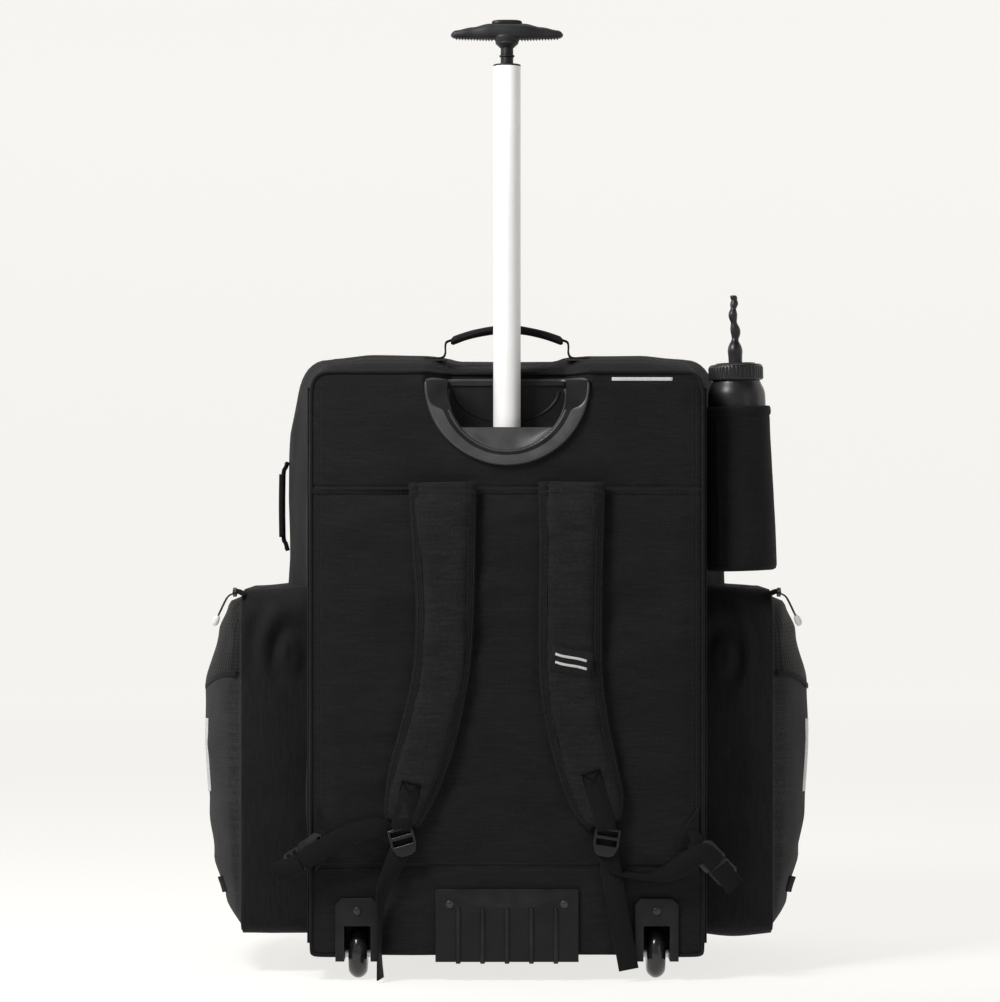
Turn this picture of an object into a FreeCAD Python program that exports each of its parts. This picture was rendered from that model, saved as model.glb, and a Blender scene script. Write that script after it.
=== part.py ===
"""A wheeled hockey equipment bag, standing upright, with its straps towards -Y.

Millimetres, +Z up. The origin is on the floor, under the middle of the bag's box. Depths in the
calls below are measured from the outer face of the back panel, and back_y moves them into place.
"""

import FreeCAD
import Part

import math
import os
import re

import Sketcher
from FreeCAD import Placement, Rotation, Vector

DIMENSIONS = {
    # Frame
    "back_y": -187,
    "depth": 390,
    "room": 400,
    # Fabric and boards
    "cloth": 3,
    "pad_thick": 8,
    "board": 3,
    "gap": 0.5,
    # Main compartment
    "half_back": 244,
    "half_shoulder": 250,
    "half_belly": 284,
    "half_front": 262,
    "half_base": 248,
    "shoulder_y": 90,
    "belly_y": 170,
    "belly_end_y": 300,
    "floor_gap": 32,
    "belly_low": 150,
    "belly_high": 640,
    "body_top": 758,
    "crown": 22,
    # Front door
    "door_half": 212,
    "door_low": 84,
    "door_high": 722,
    "door_corner": 62,
    # Telescopic handle
    "pole_y": 31,
    "pole_r": 17.25,
    "pole_wall": 1.5,
    "pole_low": 600,
    "pole_high": 1147,
    "tube_r": 19.5,
    "tube_bore": 18,
    "tube_low": 52,
    "tube_high": 686,
    "shelf_z": 692.5,
    "bush_low": 600.6,
    "pin_z": 587.5,
    "pin_r": 3.5,
    "rod_r": 2.5,
    "grip_half": 71,
    "grip_depth": 30,
    # Moulded handle recess
    "scoop_r": 103,
    "scoop_z": 748,
    "recess_r": 75,
    "recess_z": 739,
    "scoop_top": 751,
    "scoop_proud": 7,
    "scoop_back": 51,
    "scoop_wall": 2.5,
    # Wheels
    "wheel_x": 187,
    "wheel_y": 30,
    "wheel_r": 32,
    "wheel_half": 12,
    "hub_r": 20,
    "bearing_r": 11,
    "axle_r": 4,
    "housing_half": 27.5,
    "window_half": 16.5,
    "well_half": 19.5,
    "bolt_room": 4.5,
    "well_y": 69,
    "well_top": 72,
    "housing_low": 24.5,
    "housing_high": 104,
    "plate": 4,
    # Kick plate
    "kick_half": 89.5,
    "kick_low": 24,
    "kick_high": 115,
    "kick_reach": 70,
    "rib_pitch": 30.5,
    "rib_r": 3,
    "bearing_x": 7.6,
    "bearing_half": 3.5,
    # Feet
    "foot_x": 170,
    "foot_y": 345,
    # Handles
    "handle_y": 76,
    "handle_half": 14,
    "handle_leg": 79.5,
    "handle_seat": 778.2,
    "webbing": 1.8,
    # Skate pockets
    "pocket_back": 58,
    "pocket_front": 333,
    "pocket_low": 52,
    "pocket_high": 485,
    "pocket_edge": 336,
    "pocket_bulge": 391,
    # Shoulder straps
    "strap_near": -6,
    "strap_far": -20,
    "lock_near": -12.5,
    "lock_far": -17.5,
    "buckle_y": -16,
    "run_y": -9.4,
    "tail_y": -20,
    # Water bottle
    "bottle_x": 299,
    "bottle_y": 70,
    "bottle_z": 512,
    "bottle_tilt": 1.8,
    "bottle_r": 37,
    "cap_r": 34.3,
}

PLANES = {"XY": 1, "XZ": -1, "YZ": 1}  # the way a sketch's normal points along its own axis
SIDES = {"left": -1, "right": 1}

doc = FreeCAD.newDocument("hockey_bag")
sheet = doc.addObject("Spreadsheet::Sheet", "dims")
for row, (alias, amount) in enumerate(DIMENSIONS.items(), 1):
    sheet.set(f"A{row}", alias)
    sheet.set(f"B{row}", str(amount))
    sheet.setAlias(f"B{row}", alias)
doc.recompute()
parts = {}


# --- Helpers -----------------------------------------------------------------------------------


def linked(expression):
    """The expression with each alias written as a reference to the sheet."""
    return re.sub(
        r"[a-z_]+", lambda m: f"dims.{m.group()}" if m.group() in DIMENSIONS else m.group(), str(expression)
    )


def number(expression):
    """What an expression on the sheet comes to."""
    found = sheet.evalExpression(str(expression))
    return float(getattr(found, "Value", found))


def bind(thing, **expressions):
    """Binds properties of a document object to expressions on the sheet."""
    for name, expression in expressions.items():
        thing.setExpression(name, linked(expression))
    return thing


def place(thing, x=0, y=0, z=0, axis=(0, 0, 1), angle=0):
    """Turns a thing about its own origin and puts that at x, z and a depth y behind the back panel."""
    thing.Placement = Placement(Vector(), Rotation(Vector(*axis), angle))
    thing.setExpression(".Placement.Base.x", linked(x))
    thing.setExpression(".Placement.Base.y", linked(f"back_y + ({y})"))
    thing.setExpression(".Placement.Base.z", linked(z))
    return thing


def named(thing, label):
    """Makes a thing one of the bag's sub-parts, under that name."""
    thing.Label = label
    parts[label] = thing
    return thing


def new_body(name):
    return doc.addObject("PartDesign::Body", name)


def sketch(body, plane, outline, height):
    """A closed outline of straight lines on one of the body's origin planes, height along its axis."""
    made = body.newObject("Sketcher::SketchObject", body.Name + "_sketch")
    origin = next(o for o in body.Origin.OriginFeatures if o.Role == plane + "_Plane")
    made.AttachmentSupport = [(origin, "")]
    made.MapMode = "FlatFace"
    made.setExpression("AttachmentOffset.Base.z", linked(f"{PLANES[plane]} * ({height})"))
    corners = [Vector(number(u), number(v), 0) for u, v in outline]
    following = corners[1:] + corners[:1]
    made.addGeometry([Part.LineSegment(a, b) for a, b in zip(corners, following)], False)
    count = len(corners)
    made.addConstraint(
        [Sketcher.Constraint("Coincident", i, 2, (i + 1) % count, 1) for i in range(count)]
    )
    for i, corner in enumerate(outline):
        for kind, place_of, expression in zip(("DistanceX", "DistanceY"), corners[i], corner):
            index = made.addConstraint(Sketcher.Constraint(kind, -1, 1, i, 1, place_of))
            made.setExpression(f"Constraints[{index}]", linked(expression))
    return made


def add(body, plane, outline, low, high):
    """Pads an outline from low to high along the plane's axis."""
    start = high if PLANES[plane] < 0 else low
    pad = body.newObject("PartDesign::Pad", body.Name + "_pad")
    pad.Profile = sketch(body, plane, outline, start)
    bind(pad, Length=f"({high}) - ({low})")
    doc.recompute()
    return body


def cut(body, plane, outline, low, high):
    """Cuts an outline out of the body from low to high, and checks that it removed something."""
    before = body.Shape.Volume
    start = low if PLANES[plane] < 0 else high
    pocket = body.newObject("PartDesign::Pocket", body.Name + "_pocket")
    pocket.Profile = sketch(body, plane, outline, start)
    bind(pocket, Length=f"({high}) - ({low})")
    doc.recompute()
    if not body.Shape.Volume < before - 0.1:
        raise RuntimeError(f"{body.Name}: a pocket cut nothing")
    return body


def turned(body, profile, axis="V_Axis", cuts=False):
    """A profile in the XZ plane turned about the sketch's vertical or horizontal axis."""
    kind = "PartDesign::Groove" if cuts else "PartDesign::Revolution"
    made = body.newObject(kind, body.Name + "_turn")
    made.Profile = sketch(body, "XZ", profile, 0)
    made.ReferenceAxis = (made.Profile[0], [axis])
    made.Angle = 360
    doc.recompute()
    return body


def loft(body, sections):
    """A ruled loft through horizontal outlines, given as (height, outline)."""
    sketches = [sketch(body, "XY", outline, height) for height, outline in sections]
    made = body.newObject("PartDesign::AdditiveLoft", body.Name + "_loft")
    made.Profile = sketches[0]
    made.Sections = sketches[1:]
    made.Ruled = True
    doc.recompute()
    return body


def soften(body, radius, wanted):
    """Rounds the edges of a body that the test wants."""
    edges = [f"Edge{i}" for i, e in enumerate(body.Shape.Edges, 1) if wanted(e)]
    base = body.Tip
    made = body.newObject("PartDesign::Fillet", body.Name + "_round")
    made.Base = (base, edges)
    made.Radius = radius
    doc.recompute()
    return body


def on_face(edge, depth):
    """True if an edge lies in the plane at one depth, before the body is placed."""
    return abs(edge.BoundBox.YMin + depth) < 0.01 and edge.BoundBox.YLength < 0.01


def along(edge, direction):
    """True if an edge is straight and runs along a direction."""
    if edge.Curve.TypeId != "Part::GeomLine":
        return False
    return abs(abs(edge.tangentAt(edge.FirstParameter).dot(Vector(*direction))) - 1) < 1e-6


def rectangle(left, right, low, high):
    return [(left, low), (right, low), (right, high), (left, high)]


def mirrored(outline):
    """An outline of the side x > 0, given from its lower end to its upper one, closed by its mirror image."""
    return outline + [(f"-({x})", z) for x, z in reversed(outline)]


def sided(side, outline):
    """An outline given for x > 0, on the side asked for."""
    return [(f"{SIDES[side]} * ({x})", y) for x, y in outline]


def box(x, y, z, low):
    """A Part::Box with its lowest corner at low, in the bag's own depths."""
    made = doc.addObject("Part::Box", "box")
    bind(made, Length=x, Width=y, Height=z)
    return place(made, *low)


def all_below(z):
    """A block that reaches past the handle recess on every side, with its top at z."""
    return box("room", "room", "room", ("-room / 2", "-room / 4", f"{z} - room"))


def all_above(z):
    """The same block with its bottom at z."""
    return box("room", "room", "room", ("-room / 2", "-room / 4", z))


def cylinder(radius, height, at, axis=(0, 0, 1), angle=0):
    made = doc.addObject("Part::Cylinder", "cylinder")
    bind(made, Radius=radius, Height=height)
    return place(made, *at, axis=axis, angle=angle)


def disc(radius, low, high, x, z):
    """A cylinder about a line along Y, from one depth to another."""
    return cylinder(radius, f"({high}) - ({low})", (x, high, z), (1, 0, 0), 90)


def cross_bar(radius, low, high, y, z):
    """A cylinder about a line along X."""
    return cylinder(radius, f"({high}) - ({low})", (low, y, z), (0, 1, 0), 90)


def joined(name, *things):
    made = doc.addObject("Part::MultiFuse", name)
    made.Shapes = things
    return made


def less(name, base, tool):
    made = doc.addObject("Part::Cut", name)
    made.Base = base
    made.Tool = tool
    return made


def shared(name, a, b):
    made = doc.addObject("Part::Common", name)
    made.Base = a
    made.Tool = b
    return made


def group(name, *things):
    """Several separate solids under one name."""
    made = doc.addObject("Part::Compound", name)
    made.Links = things
    return made


# --- Main compartment --------------------------------------------------------------------------


def well_notch(side):
    """The outline, from outside to inside, of the notch that a panel leaves round a wheel well."""
    centre = SIDES[side]
    near, far = f"{centre} * wheel_x - well_half - bolt_room", f"{centre} * wheel_x + well_half + bolt_room"
    return (near, far)


def recess_tool(name):
    """The space that the handle recess takes in the back panel and its board."""
    round_part = disc("recess_r + scoop_wall + gap", -20, 80, 0, "recess_z")
    half = "(recess_r + scoop_wall + gap)"
    upper = box(f"2 * {half}", 100, 60, (f"-{half}", -20, "recess_z"))
    return joined(name, round_part, upper)


def wall_outline(half, low, high):
    """A back wall's outline, with notches at its lower edge for the wheel wells."""
    points = [(f"-({half})", low)]
    for side in ("left", "right"):
        near, far = well_notch(side)
        points += [(near, low), (near, "well_top + gap"), (far, "well_top + gap"), (far, low)]
    return points + [(half, low), (half, high), (f"-({half})", high)]


def back_panel():
    """The padded fabric panel that lies against the wearer's back."""
    body = new_body("back_panel_body")
    add(body, "XZ", wall_outline("half_back", "floor_gap + cloth", "body_top"), 0, "pad_thick")
    place(body)
    named(less("back_panel", body, recess_tool("back_panel_recess")), "back_panel")


def back_board():
    """The plastic board behind the back panel, which carries the handle tube."""
    body = new_body("back_board_body")
    outline = wall_outline("half_back - 8", "floor_gap + cloth + board + gap", "body_top - 6")
    add(body, "XZ", outline, "pad_thick", "pad_thick + board")
    place(body)
    named(less("back_board", body, recess_tool("back_board_recess")), "back_board")


def side_panel(side):
    """A side gusset, straight at its foot and its top and bellied out between them."""

    def outline(shoulder, belly, front):
        outer = [("half_back", "pad_thick"), (shoulder, "shoulder_y"), (belly, "belly_y")]
        outer += [(belly, "belly_end_y"), (front, "depth - cloth + 1")]
        inner = [(f"{x} - cloth", y) for x, y in reversed(outer)]
        return sided(side, outer + inner)

    body = new_body("side_" + side)
    full = outline("half_shoulder", "half_belly", "half_front")
    loft(
        body,
        [
            ("floor_gap + cloth", outline("half_base", "half_base", "half_base")),
            ("belly_low", full),
            ("belly_high", full),
            ("body_top - 32", outline("half_shoulder", "half_belly - 13", "half_front - 4")),
            ("body_top", outline("half_back", "half_back + 3", "half_back")),
        ],
    )
    place(body)
    named(body, f"side_panel_{side}")


def top_panel():
    """The crowned top panel, hollow below and notched where the handle rises."""
    body = new_body("top")
    arch = [(0, "body_top"), (0, "body_top + cloth"), (60, "body_top + 16"), (130, "body_top + crown")]
    arch += [(280, "body_top + crown"), (350, "body_top + 13"), ("depth + 1", "body_top + cloth")]
    arch += [("depth + 1", "body_top")]
    add(body, "YZ", arch, "-half_back", "half_back")
    hollow = [(62, "body_top - 1"), (62, "body_top + 13"), (130, "body_top + crown - cloth")]
    hollow += [(280, "body_top + crown - cloth"), (350, "body_top + 10"), ("depth - 6", "body_top + 1")]
    hollow += [("depth - 6", "body_top - 1")]
    cut(body, "YZ", hollow, "-half_back + 5", "half_back - 5")
    notch = rectangle("-(recess_r + 8)", "recess_r + 8", -1, "scoop_back + scoop_wall + 1.5")
    cut(body, "XY", notch, "body_top - 1", "body_top + crown + 1")
    place(body)
    named(body, "top_panel")


def floor_outline(half, back, front):
    """A floor panel's outline, notched at its back edge for the wheel wells."""
    points = [(f"-({half})", front), (f"-({half})", back)]
    for side in ("left", "right"):
        near, far = well_notch(side)
        points += [(near, back), (near, "well_y + gap"), (far, "well_y + gap"), (far, back)]
    return points + [(half, back), (half, front)]


def bottom_panel():
    body = new_body("bottom")
    add(body, "XY", floor_outline("half_base", 0, "depth + 1"), "floor_gap", "floor_gap + cloth")
    place(body)
    named(body, "bottom_panel")


def base_board():
    body = new_body("base")
    low = "floor_gap + cloth"
    outline = floor_outline("half_back - 6", "pad_thick + gap", "depth - cloth - 2")
    add(body, "XY", outline, low, f"{low} + board")
    place(body)
    named(body, "base_board")


def door_outline(inset):
    """The front opening's outline, with its two upper corners cut off, taken in by inset."""
    half = f"door_half - {inset}"
    low, high = f"door_low + {inset}", f"door_high - {inset}"
    return mirrored(
        [(half, low), (half, f"{high} - door_corner"), (f"{half} - door_corner", high)]
    )


def front_frame():
    """The border of the front, round the door."""
    body = new_body("front")
    outline = [("half_base", "floor_gap + cloth"), ("half_front", "belly_low")]
    outline += [("half_front", "belly_high"), ("half_front - 4", "body_top - 32")]
    outline += [("half_back", "body_top")]
    add(body, "XZ", mirrored(outline), "depth - cloth + 1", "depth + 1")
    cut(body, "XZ", door_outline(0), "depth - cloth", "depth + 2")
    place(body)
    named(body, "front_frame")


def front_door():
    """The zipped front panel, which folds down about its lower edge."""
    body = new_body("door")
    add(body, "XZ", door_outline(1.5), "depth - cloth + 1", "depth + 1")
    place(body)
    named(body, "front_door")


def door_slider():
    """The slider of the main zip with its pull tab, in front of the zip's upper run."""
    body = new_body("door_slide")
    near = "depth + 1.4"
    add(body, "XZ", rectangle(-7, 7, "door_high - 6", "door_high + 5"), near, f"{near} + 4.5")
    add(body, "XZ", rectangle(-3, 3, "door_high - 36", "door_high - 6"), f"{near} + 1", f"{near} + 3.4")
    cut(body, "XZ", rectangle(-1.6, 1.6, "door_high - 18", "door_high - 9"), near, f"{near} + 5")
    place(body)
    named(body, "door_zip_slider")


# --- Telescopic handle -------------------------------------------------------------------------


def handle_scoop():
    """The moulded half-round recess that the grip sinks into, with the shelf that the pole rises through."""
    dome = new_body("scoop_dome")
    profile = [(0, 0), ("scoop_r", 0), ("scoop_r", "scoop_proud - 3.4")]
    profile += [("scoop_r - 0.9", "scoop_proud - 1.2")]
    profile += [("scoop_r - 2.6", "scoop_proud - 0.2"), ("scoop_r - 5", "scoop_proud"), (0, "scoop_proud")]
    turned(dome, profile)
    place(dome, 0, 0, "scoop_z", (1, 0, 0), 90)
    bezel = shared("scoop_bezel", dome, all_below("scoop_top"))
    round_cup = disc("recess_r + scoop_wall", 0, "scoop_back + scoop_wall", 0, "recess_z")
    cup = shared("scoop_cup", round_cup, all_below("scoop_top"))
    deep = shared("scoop_deep", disc("recess_r", -10, "scoop_back", 0, "recess_z"), all_above("shelf_z"))
    crescent = shared("scoop_crescent", disc("recess_r", -10, 5, 0, "recess_z"), all_below("shelf_z + 1"))
    behind = shared("scoop_behind", disc("recess_r", 8, 60, 0, "recess_z"), all_below("shelf_z - 3"))
    mouth = box("2 * recess_r - 6", "scoop_back + 10", 60, ("-recess_r + 3", -10, "recess_z - 4"))
    pole_hole = cylinder("tube_r + 1.7", 100, (0, "pole_y", "shelf_z - 60"))
    spaces = joined("scoop_spaces", deep, crescent, behind, mouth, pole_hole)
    lip = box("2 * recess_r - 6", 2.4, 5, ("-recess_r + 3", "scoop_back - 2.4", "scoop_top - 5"))
    hollowed = less("scoop_hollowed", joined("scoop_solid", bezel, cup), spaces)
    named(joined("handle_scoop", hollowed, lip), "handle_scoop")


def outer_tube():
    """The fixed tube inside the bag, with a keyway along its front for the lock pin."""
    body = new_body("outer")
    turned(body, rectangle("tube_bore", "tube_r", "tube_low", "tube_high"))
    cut(body, "XZ", rectangle(-4, 4, "tube_low + 30", "tube_high - 20"), 10, 25)
    place(body, y="pole_y")
    named(body, "outer_tube")


def tube_base_socket():
    """The moulded foot that holds the tube's lower end on the base board."""
    body = new_body("socket")
    low = "floor_gap + cloth + board"
    profile = [(0, low), (34, low), (34, f"{low} + 4"), ("tube_r + 4", f"{low} + 8")]
    profile += [("tube_r + 4", "tube_low + 22"), ("tube_r + 0.1", "tube_low + 22")]
    profile += [("tube_r + 0.1", "tube_low - 0.1"), (0, "tube_low - 0.1")]
    turned(body, profile)
    cut(body, "XY", rectangle(-40, 40, -40, "pad_thick + board + 0.3 - pole_y"), 0, 100)
    place(body, y="pole_y")
    named(body, "tube_base_socket")


def tube_guide_bush():
    """The collar and sleeve at the top of the outer tube that guide the pole."""
    body = new_body("guide")
    profile = [("pole_r + 0.1", "bush_low"), ("tube_bore - 0.05", "bush_low")]
    profile += [("tube_bore - 0.05", "tube_high + 0.1"), ("tube_r + 1.5", "tube_high + 0.1")]
    profile += [("tube_r + 1.5", "shelf_z"), ("pole_r + 0.1", "shelf_z")]
    turned(body, profile)
    place(body, y="pole_y")
    named(body, "tube_guide_bush")


def pole_tube():
    body = new_body("pole")
    turned(body, rectangle("pole_r - pole_wall", "pole_r", "pole_low", "pole_high"))
    place(body, y="pole_y")
    named(body, "pole_tube")


def pole_foot_bush():
    """The bush at the pole's lower end, which slides in the outer tube and carries the lock pin."""
    body = new_body("foot_bush")
    inside = "pole_r - pole_wall - 0.05"
    profile = [(0, "pole_low - 25"), ("tube_bore - 0.1", "pole_low - 25")]
    profile += [("tube_bore - 0.1", "pole_low - 0.1"), (inside, "pole_low - 0.1")]
    profile += [(inside, "pole_low + 20"), (0, "pole_low + 20")]
    turned(body, profile)
    cut(body, "XY", rectangle(-2.9, 2.9, -7.5, 4.5), "pole_low - 20", "pole_low + 21")
    groove = body.newObject("PartDesign::Groove", "foot_bush_bore")
    flat = sketch(body, "XY", rectangle(0, "pin_r + 0.15", -16, 19), "pin_z")
    groove.Profile = flat
    groove.ReferenceAxis = (flat, ["V_Axis"])
    groove.Angle = 360
    doc.recompute()
    place(body, y="pole_y")
    named(body, "pole_foot_bush")


def grip_neck():
    """The neck between the pole and the grip, with its ring and its collar on the pole."""
    body = new_body("neck")
    bore = "rod_r + 0.6"
    top = "pole_high + 31"
    profile = [(bore, "pole_high - 20"), ("pole_r - pole_wall - 0.05", "pole_high - 20")]
    profile += [("pole_r - pole_wall - 0.05", "pole_high + 0.1"), ("pole_r", "pole_high + 0.1")]
    profile += [("pole_r", "pole_high + 2.3"), (8, "pole_high + 4"), (8, "pole_high + 11.5")]
    profile += [(9.6, "pole_high + 12.4"), (9.6, "pole_high + 14"), (8, "pole_high + 15")]
    profile += [(8, "pole_high + 23"), (14.5, "pole_high + 29"), (14.5, top), (bore, top)]
    turned(body, profile)
    place(body, y="pole_y")
    named(body, "grip_neck")


def grip_body():
    """The T-shaped grip: a bar that swells to its middle, ribbed below, with a well for the button."""
    body = new_body("grip")
    low, depth = "pole_high + 33.5", "grip_depth / 2"
    shape = [(14, "pole_high + 31.1"), (16, low), ("grip_half - 3", low), ("grip_half", f"{low} + 4")]
    shape += [("grip_half", f"{low} + 8"), ("grip_half - 4", f"{low} + 12")]
    shape += [(45, f"{low} + 17"), (21, f"{low} + 20.7")]
    add(body, "XZ", mirrored(shape), f"-{depth}", depth)
    plan = [("grip_half + 1", 8), (20, f"{depth} + 0.2"), (20, 30), ("grip_half + 1", 30)]
    for u, v in ((1, 1), (1, -1), (-1, 1), (-1, -1)):
        cut(body, "XY", [(f"{u} * ({x})", f"{v} * ({y})") for x, y in plan], 1100, 1300)
    well = [(20.6, -8), (20.6, 8), (14, 11), (-14, 11), (-20.6, 8), (-20.6, -8), (-14, -11), (14, -11)]
    cut(body, "XY", well, f"{low} + 12", f"{low} + 30")
    cut(body, "XY", rectangle(-3.9, 3.9, -3.9, 3.9), 1100, f"{low} + 20")
    for u in (1, -1):
        for step in range(12):
            x = 20 + 3.4 * step
            rib = rectangle(f"{u} * {x} - 0.8", f"{u} * {x} + 0.8", f"{low} - 1", f"{low} + 1.6")
            cut(body, "XZ", rib, -20, 20)
    place(body, y="pole_y")
    named(body, "grip_body")


def release_button():
    """The oval push button in the top of the grip, with its stem."""
    body = new_body("button")
    top, plate = "pole_high + 58.6", "pole_high + 51.5"
    oval = [(20, -7), (20, 7), (13.5, 10.4), (-13.5, 10.4), (-20, 7), (-20, -7)]
    oval += [(-13.5, -10.4), (13.5, -10.4)]
    add(body, "XY", oval, plate, top)
    soften(body, 2.2, lambda e: abs(e.BoundBox.ZMax - number(top)) < 0.01 and e.BoundBox.ZLength < 0.01)
    turned(body, rectangle(0, "rod_r + 1", "pole_high + 46.4", plate))
    place(body, y="pole_y")
    named(body, "release_button")


def release_rod():
    """The rod down the pole, whose wedge draws the lock pin back when the button is pressed."""
    body = new_body("rod")
    tip = "pin_z"
    turned(body, rectangle(0, "rod_r", "pin_z + 12", "pole_high + 46.3"))
    blade = [("-2.7", f"{tip} + 3"), (0.3, tip), (2.5, tip), (2.5, f"{tip} + 13")]
    blade += [(-6.7, f"{tip} + 13"), (-6.7, f"{tip} + 7")]
    add(body, "YZ", blade, -1.7, 1.7)
    place(body, y="pole_y")
    named(body, "release_rod")


def lock_pin():
    """The sprung pin that holds the pole out, with the slot that the rod's wedge works in."""
    body = new_body("pin")
    profile = [(0, -7), ("pin_r", -7), ("pin_r", 17.6), ("pin_r - 1.2", 18.9), (0, 18.9)]
    flat = sketch(body, "XY", profile, 0)
    made = body.newObject("PartDesign::Revolution", "pin_turn")
    made.Profile = flat
    made.ReferenceAxis = (flat, ["V_Axis"])
    made.Angle = 360
    doc.recompute()
    cut(body, "XY", rectangle(-2, 2, -3.6, 7), -5, 5)
    place(body, y="pole_y", z="pin_z")
    named(body, "lock_pin")


def coil(name, radius, wire, pitch, height, at, axis=(1, 0, 0), angle=0, steps=12):
    """A coil spring: round wire along short straight runs, so many to a turn."""
    corners = []
    for step in range(round(steps * height / pitch) + 1):
        turn = 2 * math.pi * step / steps
        corners.append(Vector(radius * math.cos(turn), radius * math.sin(turn), pitch * step / steps))
    section = Part.Wire(Part.makeCircle(wire / 2, corners[0], corners[1] - corners[0]))
    made = doc.addObject("Part::Feature", name)
    made.Shape = Part.makePolygon(corners).makePipeShell([section], True, False, 1)
    made.Placement = Placement(Vector(*at), Rotation(Vector(*axis), angle))
    return made


def springs():
    """The spring under the button and the one behind the lock pin."""
    y = number("back_y + pole_y")
    button = coil("button_spring", 6, 1, 1.75, 3.5, (0, y, number("pole_high + 46.9")))
    named(button, "button_spring")
    pin = coil("lock_spring", 2.2, 0.7, 2, 7.4, (0, y - 7.6, number("pin_z")), (1, 0, 0), 90)
    named(pin, "lock_spring")


# --- Wheels ------------------------------------------------------------------------------------


def wheel_housing(side):
    """The moulded corner that holds a wheel: a face plate with a window, a well and a sole plate."""
    x = f"{SIDES[side]} * wheel_x"
    body = new_body("housing_" + side)
    face = [("-housing_half", "housing_low"), ("housing_half", "housing_low")]
    face += [("housing_half", "housing_high - 8"), ("housing_half - 8", "housing_high")]
    face += [("-housing_half + 8", "housing_high"), ("-housing_half", "housing_high - 8")]
    add(body, "XZ", face, "-plate", "-0.2")
    soften(body, 6, lambda e: along(e, (0, 1, 0)) and e.BoundBox.ZMin > number("housing_high - 10"))
    soften(body, 1.6, lambda e: on_face(e, number("plate")))
    add(body, "XZ", rectangle("-well_half", "well_half", "housing_low", "well_top"), "-0.2", "well_y")
    sole = rectangle("-housing_half", "housing_half", "floor_gap - 3.7", "floor_gap - 0.3")
    add(body, "XZ", sole, "-0.2", "well_y + 14")
    window = rectangle("-window_half", "window_half", "housing_low - 1", "well_top - 3")
    cut(body, "XZ", window, "-plate - 1", "well_y - 3")
    for end in (-1, 1):
        relief = rectangle("well_half", "well_half + bolt_room", "wheel_y - 8", "wheel_y + 8")
        cut(body, "XY", [(f"{end} * ({u})", v) for u, v in relief], "floor_gap - 10", "floor_gap")
    place(body, x=x)
    bore = cross_bar("axle_r + 0.1", f"{x} - 25", f"{x} + 25", "wheel_y", "wheel_r")
    named(less("wheel_housing_" + side, body, bore), f"wheel_housing_{side}")


def wheel(side):
    """A tyre on a spoked hub that turns on two ball bearings."""
    x = f"{SIDES[side]} * wheel_x"
    tyre = new_body("tyre_body_" + side)
    profile = [("-wheel_half + 1.5", "hub_r"), ("-wheel_half + 1", "hub_r + 3")]
    profile += [("-wheel_half", "hub_r + 5")]
    profile += [("-wheel_half + 1", "wheel_r - 5"), ("-wheel_half + 3.5", "wheel_r - 2.2")]
    profile += [(-4.5, "wheel_r - 0.5")]
    profile += [(0, "wheel_r"), (4.5, "wheel_r - 0.5"), ("wheel_half - 3.5", "wheel_r - 2.2")]
    profile += [("wheel_half - 1", "wheel_r - 5"), ("wheel_half", "hub_r + 5")]
    profile += [("wheel_half - 1", "hub_r + 3"), ("wheel_half - 1.5", "hub_r")]
    turned(tyre, profile, "H_Axis")
    place(tyre, x=x, y="wheel_y", z="wheel_r")
    named(tyre, f"tyre_{side}")

    hub = new_body("hub_body_" + side)
    seat, web = "bearing_r", 2.5
    profile = [("-wheel_half + 0.5", seat), (-4, seat), (-4, "bearing_r - 2"), (4, "bearing_r - 2")]
    profile += [(4, seat), ("wheel_half - 0.5", seat), ("wheel_half - 0.5", "bearing_r + 2.5")]
    profile += [(web, "bearing_r + 2.5")]
    profile += [(web, "hub_r - 2.5"), ("wheel_half - 2", "hub_r - 2.5"), ("wheel_half - 2", "hub_r - 0.05")]
    profile += [("-wheel_half + 2", "hub_r - 0.05"), ("-wheel_half + 2", "hub_r - 2.5")]
    profile += [(-web, "hub_r - 2.5")]
    profile += [(-web, "bearing_r + 2.5"), ("-wheel_half + 0.5", "bearing_r + 2.5")]
    turned(hub, profile, "H_Axis")
    place(hub, x=x, y="wheel_y", z="wheel_r")
    named(hub, f"hub_{side}")

    rings = []
    for end in (-1, 1):
        ring = new_body(f"bearing_{side}_{end + 1}")
        near, far = f"{end} * bearing_x - bearing_half", f"{end} * bearing_x + bearing_half"
        turned(ring, rectangle(near, far, "axle_r + 0.06", "bearing_r - 0.05"), "H_Axis")
        rings.append(place(ring, x=x, y="wheel_y", z="wheel_r"))
    named(group("bearings_" + side, *rings), f"bearings_{side}")


def wheel_axles():
    """Each wheel's bolt, with its heads, and the spacers that show on both sides of the wheel."""
    solids = []
    for side in SIDES:
        x = f"{SIDES[side]} * wheel_x"
        shaft = new_body("axle_" + side)
        reach = "well_half + 0.2"
        profile = [(f"-({reach}) - 3.5", 0), (f"-({reach}) - 3.5", 6), (f"-({reach})", 7)]
        profile += [(f"-({reach})", "axle_r")]
        profile += [(reach, "axle_r"), (reach, 7), (f"{reach} + 3.5", 6), (f"{reach} + 3.5", 0)]
        turned(shaft, profile, "H_Axis")
        solids.append(place(shaft, x=x, y="wheel_y", z="wheel_r"))
        for end in (-1, 1):
            spacer = new_body(f"spacer_{side}_{end + 1}")
            near, far = "wheel_half - 0.4", "window_half - 0.2"
            profile = rectangle(f"{end} * ({near})", f"{end} * ({far})", "axle_r + 0.06", 6.5)
            turned(spacer, profile, "H_Axis")
            solids.append(place(spacer, x=x, y="wheel_y", z="wheel_r"))
    named(group("wheel_axles", *solids), "wheel_axles")


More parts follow.
